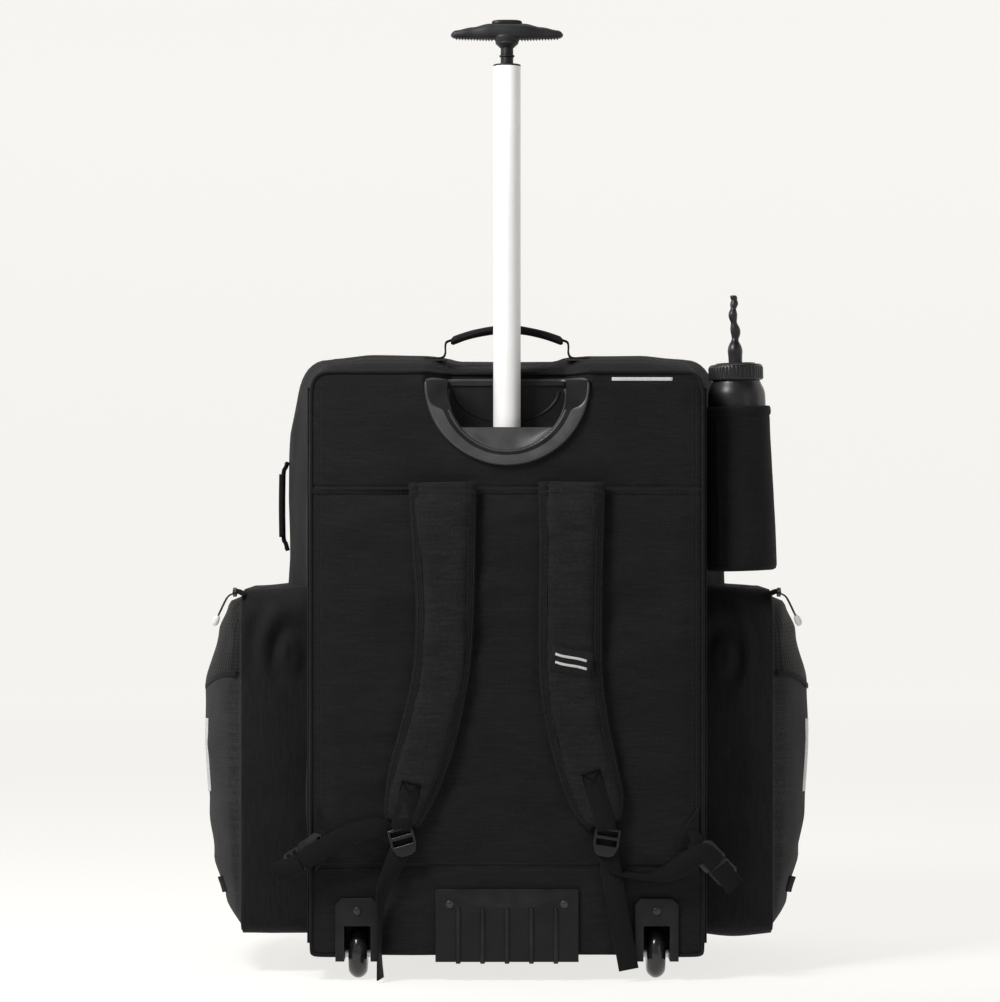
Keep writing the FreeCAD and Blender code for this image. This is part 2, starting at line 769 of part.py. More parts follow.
def kick_plate():
    """The ribbed skid plate over the middle of the lower back edge."""
    body = new_body("kick")
    add(body, "XZ", rectangle("-kick_half", "kick_half", "kick_low", "kick_high"), "-plate", "-0.2")
    soften(body, 1.6, lambda e: on_face(e, number("plate")))
    sole = rectangle("-kick_half", "kick_half", "floor_gap - 4", "floor_gap - 0.3")
    add(body, "XZ", sole, "-0.2", "kick_reach")
    place(body)
    ribs = []
    for step in range(-2, 3):
        x = f"{step} * rib_pitch"
        ribs.append(cylinder("rib_r", "kick_high - kick_low - 24", (x, "-plate", "kick_low - 1.5")))
        ball = doc.addObject("Part::Sphere", "rib_end")
        bind(ball, Radius="rib_r")
        ribs.append(place(ball, x, "-plate", "kick_high - 25.5"))
        runner = disc("rib_r", "-plate", "kick_reach - 4", x, "floor_gap - 4")
        ribs.append(runner)
    whole = joined("kick_ribbed", body, *ribs)
    keep_out = box("room", "room", "room", ("-room / 2", "-0.2", "floor_gap - 0.3"))
    named(less("kick_plate", whole, keep_out), "kick_plate")


def rivet(x, y, z, radius, axis, angle):
    """A domed rivet head on a short shank, standing out along its own axis."""
    body = new_body("rivet")
    profile = [(0, -2), (1.5, -2), (1.5, 0.1), (radius, 0.1), (radius, 0.9)]
    profile += [(radius * 0.8, 1.8), (radius * 0.45, 2.4), (0, 2.6)]
    turned(body, profile)
    return place(body, x, y, z, axis, angle)


def rivets():
    """The rivets of the wheel housings, the kick plate and the top handle."""
    out = ((1, 0, 0), 90)
    made = [rivet(f"{s} * wheel_x", "-plate - 0.1", "housing_high - 16", 4.8, *out) for s in (-1, 1)]
    made += [rivet(f"{s} * (kick_half - 18)", "-plate - 0.1", "kick_high - 18.5", 4.8, *out) for s in (-1, 1)]
    top = "handle_seat + 2.5"
    made += [rivet(f"{s} * (handle_leg + 16)", "handle_y", top, 5.5, (0, 0, 1), 0) for s in (-1, 1)]
    named(group("rivets", *made), "rivets")


def front_feet():
    """The two moulded feet that the bag's front stands on."""
    made = []
    for side in SIDES:
        body = new_body("foot_" + side)
        loft(body, [(0, rectangle(-22, 22, -14, 14)), ("floor_gap - 0.3", rectangle(-29, 29, -20, 20))])
        made.append(place(body, x=f"{SIDES[side]} * foot_x", y="foot_y"))
    named(group("front_feet", *made), "front_feet")


# --- Handles -----------------------------------------------------------------------------------


def top_handle():
    """The grab handle: riveted tabs, two webbing legs and a padded grip."""
    seat, thick = "handle_seat", "webbing + 0.6"
    low, high = "handle_y - handle_half", "handle_y + handle_half"
    tabs, legs = [], []
    for side in SIDES:
        tab = new_body("tab_" + side)
        foot = rectangle("handle_leg - 4", "handle_leg + 27", seat, f"{seat} + {thick}")
        add(tab, "XZ", sided(side, foot), low, high)
        hole = rectangle("handle_leg + 14", "handle_leg + 18", "handle_y - 2", "handle_y + 2")
        cut(tab, "XY", sided(side, hole), f"{seat} - 10", f"{seat} + 10")
        tabs.append(place(tab))
        leg = new_body("leg_" + side)
        rise = [("handle_leg", f"{seat} + 3.4"), ("handle_leg", f"{seat} + 20.5")]
        rise += [("handle_leg - 7", f"{seat} + 26.5")]
        rise += [("handle_leg - 7", f"{seat} + 24.1"), (f"handle_leg - ({thick})", f"{seat} + 19.5")]
        rise += [(f"handle_leg - ({thick})", f"{seat} + 3.4")]
        add(leg, "XZ", sided(side, rise), low, high)
        legs.append(place(leg))
    named(group("top_handle_tabs", *tabs), "top_handle_tabs")
    named(group("top_handle_strap", *legs), "top_handle_strap")
    grip = new_body("handle_pad")
    arch = [(40, f"{seat} + 30"), ("handle_leg - 7.2", f"{seat} + 19.5")]
    arch += [("handle_leg - 7.2", f"{seat} + 30"), (40, f"{seat} + 41.5")]
    other_half = [(f"-({x})", z) for x, z in reversed(arch)]
    outline = arch + [(0, f"{seat} + 45.5")] + other_half + [(0, f"{seat} + 35")]
    add(grip, "XZ", outline, "handle_y - 15", "handle_y + 15")
    soften(grip, 3, lambda e: e.BoundBox.XLength > 20)
    place(grip)
    named(grip, "top_handle_grip")


def side_handle():
    """The webbing handle on the left side panel."""
    body = new_body("side_grab")
    out = "half_belly + 0.5"
    shape = [(out, 541), (f"{out} + 4", 541), (f"{out} + 12", 562), (f"{out} + 12", 624)]
    shape += [(f"{out} + 4", 645)]
    shape += [(out, 645), (out, 641), (f"{out} + 8", 621), (f"{out} + 8", 565), (out, 545)]
    add(body, "XZ", sided("left", shape), 165, 205)
    place(body)
    named(body, "side_handle")


# --- Skate pockets -----------------------------------------------------------------------------


def skate_pocket(side):
    """A pocket's back, front, bottom and top walls, open on its outer side."""
    body = new_body("pocket_" + side)
    clear = "gap"
    plan = [("pocket_edge", "pocket_back"), (f"half_shoulder - 1.2 + {clear}", "pocket_back")]
    plan += [(f"half_shoulder + {clear}", "shoulder_y"), (f"half_belly + {clear}", "belly_y")]
    plan += [(f"half_belly + {clear}", "belly_end_y"), (f"half_belly - 6 + {clear}", "pocket_front")]
    plan += [("pocket_edge", "pocket_front")]
    add(body, "XY", sided(side, plan), "pocket_low", "pocket_high")
    back, front = "pocket_back + cloth", "pocket_front - cloth"
    inside = rectangle(back, front, "pocket_low + cloth", "pocket_high - cloth")
    low, high = sorted((f"{SIDES[side]} * 200", f"{SIDES[side]} * 400"), key=number)
    cut(body, "YZ", inside, low, high)
    place(body)
    named(body, f"skate_pocket_{side}")


def pocket_flap(side):
    """A pocket's outer panel, which bulges and swings open about its back edge."""

    def ring(bulge):
        near, far = "pocket_edge + gap", f"pocket_edge + gap + ({bulge}) * 0.72"
        top = f"pocket_edge + gap + {bulge}"
        outer = [(near, "pocket_back"), (far, 115), (top, 195), (far, 275), (near, "pocket_front")]
        inner = [(near, "pocket_front - 4"), (f"{far} - cloth", 273), (f"{top} - cloth", 195)]
        inner += [(f"{far} - cloth", 117), (near, "pocket_back + 4")]
        return sided(side, outer + inner)

    body = new_body("flap_" + side)
    full = "(pocket_bulge - pocket_edge)"
    rows = [("pocket_low", 9), (110, f"{full} * 0.7"), (220, f"{full} * 0.96"), (330, full)]
    rows += [(430, f"{full} * 0.68"), ("pocket_high", 9)]
    loft(body, [(height, ring(bulge)) for height, bulge in rows])
    place(body)
    named(body, f"pocket_flap_{side}")


def pocket_slider(side):
    """A pocket zip's slider with its moulded pull, outside the flap's upper back corner."""
    body = new_body("slide_" + side)
    top = "pocket_high + 2"
    base = rectangle("pocket_edge + 14", "pocket_edge + 21", f"{top} - 9", top)
    add(body, "XZ", sided(side, base), 66, 80)
    outer = [("pocket_edge + 18.5", f"{top} - 9"), ("pocket_edge + 20.5", f"{top} - 9")]
    outer += [("pocket_edge + 44", f"{top} - 44"), ("pocket_edge + 41", f"{top} - 46")]
    add(body, "XZ", sided(side, outer), 70, 76)
    place(body)
    named(body, f"pocket_zip_slider_{side}")


# --- Shoulder straps ---------------------------------------------------------------------------

# Each strap's centreline from its sewn top to its tip, as x outwards, height and width.
STRAP_LINES = {
    "left": [
        (80, 624, 86), (78, 532, 79), (77, 470, 74), (80, 403, 72), (88, 352, 72),
        (101, 300, 73), (115, 254, 69), (126, 217, 56), (131, 199, 42),
    ],
    "right": [
        (81, 624, 84), (80.5, 532, 80), (79.5, 470, 80), (80, 385, 80),
        (87.5, 326, 79), (100, 270, 76), (113, 226, 68), (121.5, 198, 44),
    ],
}
# Where each strap's ladder lock lies: x outwards, height and the angle that it leans.
LOCK_SPOTS = {"left": (130, 177.5, 16), "right": (124, 177, 9)}
# Where each corner buckle lies: its middle, x outwards and height, and its angle below the horizontal.
BUCKLE_SPOTS = {"left": (249, 161, 34), "right": (258, 150, 46)}


def shoulder_pad(side):
    """A padded shoulder strap, hanging in front of the back panel."""
    line = STRAP_LINES[side]
    outer = [(x + width / 2, z) for x, z, width in line]
    inner = [(x - width / 2, z) for x, z, width in reversed(line)]
    body = new_body("strap_" + side)
    add(body, "XZ", sided(side, outer + inner), "strap_far", "strap_near")
    place(body)
    named(body, f"shoulder_pad_{side}")


def ladder_lock(side):
    """The ladder-lock buckle at the tip of a shoulder strap: a frame with two bars and a tongue."""
    x, z, lean = LOCK_SPOTS[side]
    body = new_body("lock_" + side)
    shape = [(16, 16), (16, -6), (12, -17), (6, -20), (-6, -20), (-12, -17), (-16, -6), (-16, 16)]
    add(body, "XZ", shape, "lock_far", "lock_near")
    for low, high in ((6, 12.5), (-6, 1.5)):
        cut(body, "XZ", rectangle(-12.8, 12.8, low, high), "lock_far - 2", "lock_near + 2")
    soften(body, 1.3, lambda e: on_face(e, -number("lock_far")))
    place(body, f"{SIDES[side]} * {x}", 0, z, (0, 1, 0), SIDES[side] * lean)
    named(body, f"ladder_lock_{side}")


def buckle(side):
    """A side-release buckle: a socket tied to the corner tab and a clip on the strap's webbing."""
    x, z, dip = BUCKLE_SPOTS[side]
    spin = ((0, 1, 0), SIDES[side] * dip + (180 if side == "left" else 0))
    spot = (f"{SIDES[side]} * {x}", "buckle_y", z)

    socket = new_body("socket_" + side)
    shape = [(-28, -11), (-22, -16.5), (2, -16.5), (4, -14), (4, 14), (2, 16.5), (-22, 16.5), (-28, 11)]
    add(socket, "XZ", shape, -6, 6)
    cut(socket, "XZ", rectangle(-25.5, -20.5, -9.5, 9.5), -7, 7)
    cut(socket, "XZ", rectangle(-17, 5, -13.5, 13.5), -4, 4)
    for u in (-1, 1):
        cut(socket, "XZ", rectangle(-13, -3, *sorted((u * 12, u * 18))), -4, 4)
    place(socket, *spot, *spin)
    named(socket, f"buckle_socket_{side}")

    clip = new_body("clip_" + side)
    add(clip, "XZ", [(5, -15), (24, -15), (27, -12), (27, 12), (24, 15), (5, 15)], -4.5, 4.5)
    cut(clip, "XZ", rectangle(9, 13.5, -12.8, 12.8), -6, 6)
    cut(clip, "XZ", rectangle(18, 22.5, -12.8, 12.8), -6, 6)
    add(clip, "XZ", rectangle(-15.5, 5.1, -2, 2), -3, 3)
    for u in (-1, 1):
        prong = [(5.1, 6), (-8, 8), (-14, 9), (-14, 12), (-10, 15.6), (-4, 15.6), (-4, 12), (5.1, 11)]
        add(clip, "XZ", [(along_clip, u * across) for along_clip, across in prong], -3, 3)
    place(clip, *spot, *spin)
    named(clip, f"buckle_clip_{side}")


def corner_tabs():
    """The triangles of fabric that tie the buckles into the bag's lower corners."""
    made = []
    for side in SIDES:
        body = new_body("corner_" + side)
        add(body, "XZ", sided(side, [(240, 219), (212, 180), (216, 168), (240, 135)]), -2.6, -0.3)
        made.append(place(body))
    named(group("corner_tabs", *made), "corner_tabs")


def strap_webbing(side):
    """The webbing below a ladder lock: the run to the corner buckle and the free tail."""
    runs = {
        "left": [
            (145, 181), (160, 196), (180, 198), (215, 186), (242, 168),
            (236, 148), (210, 160), (180, 174), (165, 172), (152, 160),
        ],
        "right": [
            (136, 160), (160, 146), (190, 144), (212, 152), (250, 162),
            (262, 148), (238, 134), (215, 130), (190, 124), (150, 132),
        ],
    }
    tails = {
        "left": [
            (124, 158), (149, 166), (166, 108), (164, 60),
            (163, 3.5), (157, 3.5), (156, 60), (152, 108),
        ],
        "right": [(112, 156), (137, 153), (168, 14), (144, 19)],
    }
    run = new_body("run_" + side)
    add(run, "XZ", sided(side, runs[side]), "run_y", "run_y + webbing")
    tail = new_body("tail_" + side)
    add(tail, "XZ", sided(side, tails[side]), "tail_y", "tail_y + webbing")
    named(group("strap_webbing_" + side, place(run), place(tail)), f"strap_webbing_{side}")


# --- Water bottle ------------------------------------------------------------------------------


def lean(body):
    """Puts a piece of the bottle or its sleeve on their common, leaning axis."""
    return place(body, "bottle_x", "bottle_y", "bottle_z", (0, 1, 0), -number("bottle_tilt"))


def bottle_sleeve():
    """The open sleeve on the right side, with a bound rim."""
    body = new_body("sleeve")
    profile = [(0, 0), (43, 0), (45, 3), (41.5, 198), (42.5, 199), (42.3, 207), (41.3, 208), (39.4, 208)]
    profile += [(39.2, 198), (42.8, 4), (41.5, 2), (0, 2)]
    turned(body, profile)
    lean(body)
    named(body, "bottle_sleeve")


def bottle():
    """The squeeze bottle, its screw cap and its long straw."""
    shell = new_body("bottle_shell")
    wide = "bottle_r"
    outer = [(0, 2.5), (34, 2.5), (wide, 6), (wide, 222), (f"{wide} - 1.2", 231), (f"{wide} - 4.5", 238)]
    outer += [(30, 241), (30, 258)]
    inner = [(28.5, 258), (28.5, 241), (31, 236.5), (34, 230), (f"{wide} - 1.5", 221), (f"{wide} - 1.5", 7)]
    inner += [(33, 4.5), (0, 4.5)]
    turned(shell, outer + inner)
    lean(shell)
    named(shell, "bottle_body")

    cap = new_body("cap")
    profile = [(30.4, 242), ("cap_r - 0.8", 242), ("cap_r", 243), ("cap_r", 259), ("cap_r - 2", 261.5)]
    profile += [(24, 261.5), (23, 263.5), (9.2, 263.5), (9.2, 258.6), (30.4, 258.6)]
    turned(cap, profile)
    lean(cap)
    named(cap, "bottle_cap")

    straw = new_body("straw")
    profile = [(0, 12), (3.2, 12), (3.2, 256), (8.9, 256.5), (8.9, 277), (9.4, 279), (9, 285), (5.6, 294)]
    profile += [(4.6, 299), (6, 308), (6.2, 313), (4.2, 322), (4, 325), (5.2, 332), (5.2, 336), (3.7, 343)]
    profile += [(4.2, 345), (4.2, 349), (0, 349)]
    turned(straw, profile)
    lean(straw)
    named(straw, "bottle_straw")


# --- Build -------------------------------------------------------------------------------------


def build():
    back_panel()
    back_board()
    top_panel()
    bottom_panel()
    base_board()
    front_frame()
    front_door()
    door_slider()
    handle_scoop()
    outer_tube()
    tube_base_socket()
    tube_guide_bush()
    pole_tube()
    pole_foot_bush()
    grip_neck()
    grip_body()
    release_button()
    release_rod()
    lock_pin()
    springs()
    wheel_axles()
    kick_plate()
    rivets()
    front_feet()
    top_handle()
    side_handle()
    corner_tabs()
    bottle_sleeve()
    bottle()
    for side in SIDES:
        side_panel(side)
        wheel_housing(side)
        wheel(side)
        skate_pocket(side)
        pocket_flap(side)
        pocket_slider(side)
        shoulder_pad(side)
        ladder_lock(side)
        buckle(side)
        strap_webbing(side)
    doc.recompute()


def check():
    """Stops the build if any object failed to recompute or any sub-part isn't a valid solid."""
    failed = [o.Name for o in doc.Objects if {"Invalid", "Error"} & set(o.State)]
    if failed:
        raise RuntimeError(f"these objects failed: {failed}")
    for label, thing in parts.items():
        shape = thing.Shape
        if shape.isNull() or not shape.isValid() or not shape.Solids or shape.Volume <= 0:
            raise RuntimeError(f"{label} isn't a valid solid")


def export():
    os.makedirs("parts", exist_ok=True)
    for label, thing in parts.items():
        thing.Shape.exportStep(f"parts/{label}.step")
    print(len(parts), "parts")


build()
check()
export()
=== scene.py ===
"""The looks of a wheeled hockey equipment bag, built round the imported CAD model.

Pieces are laid out in millimetres as (x, depth, z): x to the right for someone who looks at the straps,
depth behind the outer face of the back panel, and z above the floor. place() turns them into metres.
"""

import contextlib
import itertools
import math

import bmesh
import bpy
import numpy as np
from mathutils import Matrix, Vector, noise


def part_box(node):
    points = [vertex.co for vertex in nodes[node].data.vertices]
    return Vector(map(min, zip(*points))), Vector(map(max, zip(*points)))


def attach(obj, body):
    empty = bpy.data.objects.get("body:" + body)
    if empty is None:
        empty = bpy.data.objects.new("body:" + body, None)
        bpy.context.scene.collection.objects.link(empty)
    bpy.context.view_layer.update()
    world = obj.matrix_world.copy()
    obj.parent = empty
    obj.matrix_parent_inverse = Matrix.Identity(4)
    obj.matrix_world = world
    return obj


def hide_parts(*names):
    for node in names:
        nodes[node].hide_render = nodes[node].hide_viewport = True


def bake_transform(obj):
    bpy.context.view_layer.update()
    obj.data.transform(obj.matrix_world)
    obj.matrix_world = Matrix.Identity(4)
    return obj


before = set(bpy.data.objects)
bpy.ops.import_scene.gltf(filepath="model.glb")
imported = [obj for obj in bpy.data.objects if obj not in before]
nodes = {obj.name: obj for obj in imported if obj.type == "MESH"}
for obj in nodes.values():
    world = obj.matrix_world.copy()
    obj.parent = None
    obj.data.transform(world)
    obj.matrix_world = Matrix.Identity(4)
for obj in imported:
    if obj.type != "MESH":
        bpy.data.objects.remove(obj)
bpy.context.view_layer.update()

MM = 0.001
BACK_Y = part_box("back_panel")[0][1]
SIDES = {"left": -1, "right": 1}


def laid_out(name):
    """The low and high corners of a CAD node's box, as (x, depth, z) in millimetres."""
    return [(x / MM, (y - BACK_Y) / MM, z / MM) for x, y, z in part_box(name)]


def centre_of(name):
    return tuple((low + high) / 2 for low, high in zip(*laid_out(name)))


# Driving sizes, from the CAD frame.
HALF, _, TOP = laid_out("back_panel")[1]
FLOOR_GAP = laid_out("bottom_panel")[0][2]
(_, _, DOOR_LOW), (DOOR_HALF, DEPTH, DOOR_HIGH) = laid_out("front_door")
(_, POCKET_BACK, POCKET_LOW), (POCKET_EDGE, POCKET_FRONT, POCKET_HIGH) = laid_out("skate_pocket_right")
POCKET_D, POCKET_Z = (POCKET_BACK + POCKET_FRONT) / 2, (POCKET_LOW + POCKET_HIGH) / 2
FLAP_BULGE = laid_out("pocket_flap_right")[1][0] - POCKET_EDGE
(_, _, GRIP_LOW), (GRIP_HALF, _, _) = laid_out("grip_body")
WHEEL_X, WHEEL_D, WHEEL_R = 187, 30, 32  # the axle's ends and depth, and the tyre's radius
POLE_D = 31  # depth of the pole's axis
DOOR_CUT = 62  # how far the door's upper corners are cut off
BOTTLE_AXIS = (-math.sin(math.radians(1.8)), 0, math.cos(math.radians(1.8)))
WAVE_BAND = 0.31416  # a wave texture's scale times the distance between its bands


def place(x, d, z):
    """Millimetres as laid out, to metres in the frame."""
    return (x * MM, BACK_Y + d * MM, z * MM)


def smooth(t):
    """Eases from 0 to 1."""
    t = min(1.0, max(0.0, t))
    return t * t * (3 - 2 * t)


def bell(t):
    """1 at 0, falling to nothing past 2 or so."""
    return math.exp(-t * t)


def circle(steps):
    """The cosine and sine at each step round a turn."""
    turns = [2 * math.pi * step / steps for step in range(steps)]
    return [(math.cos(a), math.sin(a)) for a in turns]


def squared(value, power):
    """A cosine or sine pushed outwards, which makes a circle squarer."""
    return math.copysign(abs(value) ** power, value)


def rough(x, y, z, size, seed=0):
    """Smooth noise from -1 to 1 whose bumps are about size millimetres."""
    return noise.noise(Vector((x / size + seed * 7.3, y / size - seed * 3.1, z / size + seed * 1.7)))


def along(table, value):
    """A value read between the rows of a table of (key, value) pairs, smoothly."""
    keys = [k for k, _ in table]
    if value <= keys[0]:
        return table[0][1]
    for (k0, v0), (k1, v1) in zip(table, table[1:]):
        if value <= k1:
            return v0 + (v1 - v0) * smooth((value - k0) / (k1 - k0))
    return table[-1][1]


def straight(table, value):
    """As along, but with straight runs between the rows."""
    return float(np.interp(value, [k for k, _ in table], [v for _, v in table]))


# --- Materials ---------------------------------------------------------------------------------


class Shader:
    """A Principled material that is built up node by node."""

    def __init__(self, name, **constants):
        self.material = bpy.data.materials.new(name)
        self.material.use_nodes = True
        self.tree = self.material.node_tree
        self.surface = self.tree.nodes["Principled BSDF"]
        for socket, amount in constants.items():
            self.surface.inputs[socket.replace("_", " ")].default_value = amount

    def node(self, kind, inputs=None, **settings):
        made = self.tree.nodes.new("ShaderNode" + kind)
        for name, setting in settings.items():
            setattr(made, name, setting)
        for socket, source in (inputs or {}).items():
            if isinstance(source, bpy.types.NodeSocket):
                self.tree.links.new(source, made.inputs[socket])
            else:
                made.inputs[socket].default_value = source
        return made

    def coordinates(self, kind):
        return self.node("TexCoord").outputs[kind]

    def scaled(self, source, scale, rotation=(0, 0, 0)):
        return self.node("Mapping", {"Vector": source, "Scale": scale, "Rotation": rotation}).outputs[0]

    def noise(self, source, scale, detail=2.0, stretch=(1, 1, 1)):
        mapped = self.scaled(source, stretch)
        return self.node("TexNoise", {"Vector": mapped, "Scale": scale, "Detail": detail}).outputs[0]

    def waves(self, source, pitch, direction):
        """Bands pitch metres apart."""
        inputs = {"Vector": source, "Scale": WAVE_BAND / pitch}
        return self.node("TexWave", inputs, bands_direction=direction).outputs[1]

    def times(self, a, b):
        return self.node("Math", {0: a, 1: b}, operation="MULTIPLY").outputs[0]

    def plus(self, a, b):
        return self.node("Math", {0: a, 1: b}, operation="ADD").outputs[0]

    def span(self, source, low, high, to_low=0.0, to_high=1.0):
        inputs = {"Value": source, "From Min": low, "From Max": high, "To Min": to_low, "To Max": to_high}
        return self.node("MapRange", inputs).outputs[0]

    def blend(self, factor, a, b):
        """A colour mixed between two others."""
        made = self.node("Mix", data_type="RGBA")
        for index, source in ((0, factor), (6, a), (7, b)):
            if isinstance(source, bpy.types.NodeSocket):
                self.tree.links.new(source, made.inputs[index])
            else:
                made.inputs[index].default_value = source if index == 0 else (*source, 1)
        return made.outputs[2]

    def finish(self, colour=None, roughness=None, height=None, strength=0.3, distance=0.0005):
        for socket, source in (("Base Color", colour), ("Roughness", roughness)):
            if source is not None:
                self.tree.links.new(source, self.surface.inputs[socket])
        if height is not None:
            inputs = {"Height": height, "Strength": strength, "Distance": distance}
            self.tree.links.new(self.node("Bump", inputs).outputs[0], self.surface.inputs["Normal"])
        return self.material


def tinted(colour, factor):
    return tuple(channel * factor for channel in colour)


def cloth(name, colour, pitch=0.0009, sheen=0.03, measured=True, slub=0.3):
    """Plain woven pack cloth: threads both ways, uneven yarn and a faint patchiness."""
    shader = Shader(name, Sheen_Weight=sheen, Sheen_Roughness=0.45, Roughness=0.8, Specular_IOR_Level=0.1)
    source = shader.coordinates("UV" if measured else "Object")
    weft = shader.waves(source, pitch, "Y" if measured else "Z")
    threads = shader.times(shader.waves(source, pitch, "X"), weft)
    flat, steep = ((1, 10, 1), (10, 1, 1)) if measured else ((1, 1, 10), (10, 10, 1))
    weft_slubs = shader.times(shader.noise(source, 30, 2, flat), 0.7)
    yarn = shader.plus(weft_slubs, shader.times(shader.noise(source, 60, 2, steep), 0.3))
    grain = shader.noise(source, 520, 2)
    patches = shader.noise(source, 11, 3)
    light = shader.span(yarn, 0.38, 0.62, 1 - slub, 1 + slub)
    light = shader.times(light, shader.span(grain, 0.32, 0.68, 1 - slub, 1 + slub))
    light = shader.times(light, shader.span(patches, 0.3, 0.7, 0.86, 1.14))
    tone = shader.blend(shader.span(light, 0.0, 2.6), tinted(colour, 0.05), tinted(colour, 2.75))
    tone = shader.blend(shader.span(threads, 0.1, 0.8, 0.0, 0.2), tone, tinted(colour, 1.9))
    height = shader.plus(shader.plus(threads, shader.times(yarn, 1.6)), shader.times(grain, 1.2))
    return shader.finish(tone, shader.span(yarn, 0.35, 0.65, 0.68, 0.9), height, 0.5, 0.0007)


def webbing_cloth(name, colour):
    """Ribbed webbing: fine ribs along its length and heavier picks across it."""
    shader = Shader(name, Sheen_Weight=0.03, Sheen_Roughness=0.4, Roughness=0.7, Specular_IOR_Level=0.12)
    source = shader.coordinates("UV")
    ribs = shader.waves(source, 0.0019, "X")
    picks = shader.waves(source, 0.0014, "Y")
    weave = shader.plus(ribs, shader.times(picks, 0.7))
    fuzz = shader.noise(source, 900, 2)
    tone = shader.blend(shader.span(weave, 0.2, 1.6), tinted(colour, 0.55), tinted(colour, 1.55))
    height = shader.plus(weave, shader.times(fuzz, 0.4))
    return shader.finish(tone, shader.span(fuzz, 0.3, 0.7, 0.6, 0.82), height, 0.7, 0.0006)


def net(name, colour):
    """Open sports mesh: light threads round small holes, with painted shade in the holes."""
    shader = Shader(name, Sheen_Weight=0.03, Sheen_Roughness=0.5, Roughness=0.75, Specular_IOR_Level=0.2)
    source = shader.coordinates("UV")
    cells = shader.node("TexVoronoi", {"Vector": source, "Scale": 210.0, "Randomness": 0.1}).outputs[0]
    patches = shader.noise(source, 30, 2)
    holes = shader.span(cells, 0.2, 0.48)
    thread = shader.blend(shader.span(patches, 0.35, 0.7), tinted(colour, 0.7), tinted(colour, 1.5))
    # The holes are coloured near-black, darker than any cloth here: painted shade for the dark inside of the
    # pocket seen through them.
    return shader.finish(shader.blend(holes, (0.0015, 0.0015, 0.0017), thread), None, holes, 0.8, 0.0009)


def moulded(name, colour, roughness=0.45, grain=0.12, wear=0.35, shine=0.38):
    """Injection-moulded plastic: fine grain, rubbed edges and uneven gloss."""
    shader = Shader(name, Roughness=roughness, Specular_IOR_Level=shine)
    source = shader.coordinates("Object")
    fine = shader.noise(source, 1500, 2)
    scuffs = shader.noise(source, 38, 5)
    edges = shader.span(shader.node("NewGeometry").outputs["Pointiness"], 0.5, 0.6)
    worn = shader.times(edges, shader.span(scuffs, 0.35, 0.65, 0.2, wear * 2))
    tone = shader.blend(shader.span(scuffs, 0.3, 0.7), tinted(colour, 0.8), tinted(colour, 1.25))
    tone = shader.blend(worn, tone, tinted(colour, 3.2))
    gloss = shader.span(scuffs, 0.3, 0.7, roughness - 0.07, roughness + 0.1)
    return shader.finish(tone, gloss, fine, grain, 0.0003)


def metal(name, colour, roughness=0.3, metallic=1.0, brushed=(1, 1, 40)):
    """Drawn or turned metal with faint lines along it."""
    shader = Shader(name, Metallic=metallic, Roughness=roughness)
    source = shader.coordinates("Object")
    lines = shader.noise(source, 420, 3, brushed)
    smudge = shader.noise(source, 14, 4)
    tone = shader.blend(shader.span(smudge, 0.3, 0.7), tinted(colour, 0.93), colour)
    dulled = shader.span(smudge, 0.3, 0.7, roughness, roughness + 0.08)
    gloss = shader.plus(shader.span(lines, 0.3, 0.7, -0.05, 0.05), dulled)
    return shader.finish(tone, gloss, lines, 0.08, 0.0002)


def tyre_cast(name, colour):
    """Cast urethane: glossy, with matt scuffs scattered over it."""
    shader = Shader(name, Roughness=0.26, Coat_Weight=0.2, Coat_Roughness=0.1, Specular_IOR_Level=0.4)
    source = shader.coordinates("Object")
    scuffs = shader.noise(source, 260, 4)
    marks = shader.noise(source, 60, 4)
    tone = shader.blend(shader.span(marks, 0.45, 0.8), colour, tinted(colour, 2.4))
    return shader.finish(tone, shader.span(scuffs, 0.4, 0.75, 0.16, 0.42), scuffs, 0.06, 0.0003)


def smoked(name, colour):
    """Glossy dark squeeze-bottle plastic."""
    shader = Shader(name, Roughness=0.34, Coat_Weight=0.08, Coat_Roughness=0.25, Specular_IOR_Level=0.3)
    source = shader.coordinates("Object")
    ripples = shader.noise(source, 36, 3)
    smears = shader.noise(source, 90, 4)
    tone = shader.blend(shader.span(smears, 0.3, 0.7), tinted(colour, 0.85), tinted(colour, 1.2))
    return shader.finish(tone, shader.span(smears, 0.3, 0.7, 0.3, 0.44), ripples, 0.12, 0.001)


BLACK = (0.0094, 0.0094, 0.0097)
CLOTH = cloth("pack_cloth", BLACK)
CLOTH_FREE = cloth("pack_cloth_free", BLACK, measured=False)
SIDE_CLOTH = cloth("side_cloth", (0.0094, 0.0094, 0.0098))
PALE_CLOTH = cloth("pocket_cloth", (0.0205, 0.0205, 0.0214), sheen=0.04)
PAD_CLOTH = cloth("pad_cloth", (0.0118, 0.0118, 0.0126), measured=False)
SLEEVE_CLOTH = cloth("sleeve_cloth", (0.0085, 0.0085, 0.009), pitch=0.0013, sheen=0.03)
TAPE = cloth("binding_tape", (0.0085, 0.0085, 0.009), pitch=0.0012)
TAPE_FREE = cloth("piping_cloth", (0.009, 0.009, 0.0095), pitch=0.0012, measured=False)
# Near-black thread: real black stitching, darkened well below the cloth as painted shade for the sunk lines
# of the strap patch's cross.
THREAD_PAINTED_SHADE = cloth("thread_with_painted_shade", (0.0008, 0.0008, 0.0008), pitch=0.0004, measured=False, sheen=0.0)
THREAD = cloth("thread", (0.017, 0.017, 0.018), pitch=0.0004, measured=False, sheen=0.06)
WEBBING = webbing_cloth("webbing", (0.0062, 0.0062, 0.0065))
RIBBED = webbing_cloth("ribbed_cloth", (0.0098, 0.0098, 0.0102))
NET = net("mesh_net", (0.007, 0.007, 0.0073))
MOULDING = moulded("moulding", (0.0078, 0.0078, 0.0081), 0.44, shine=0.2)
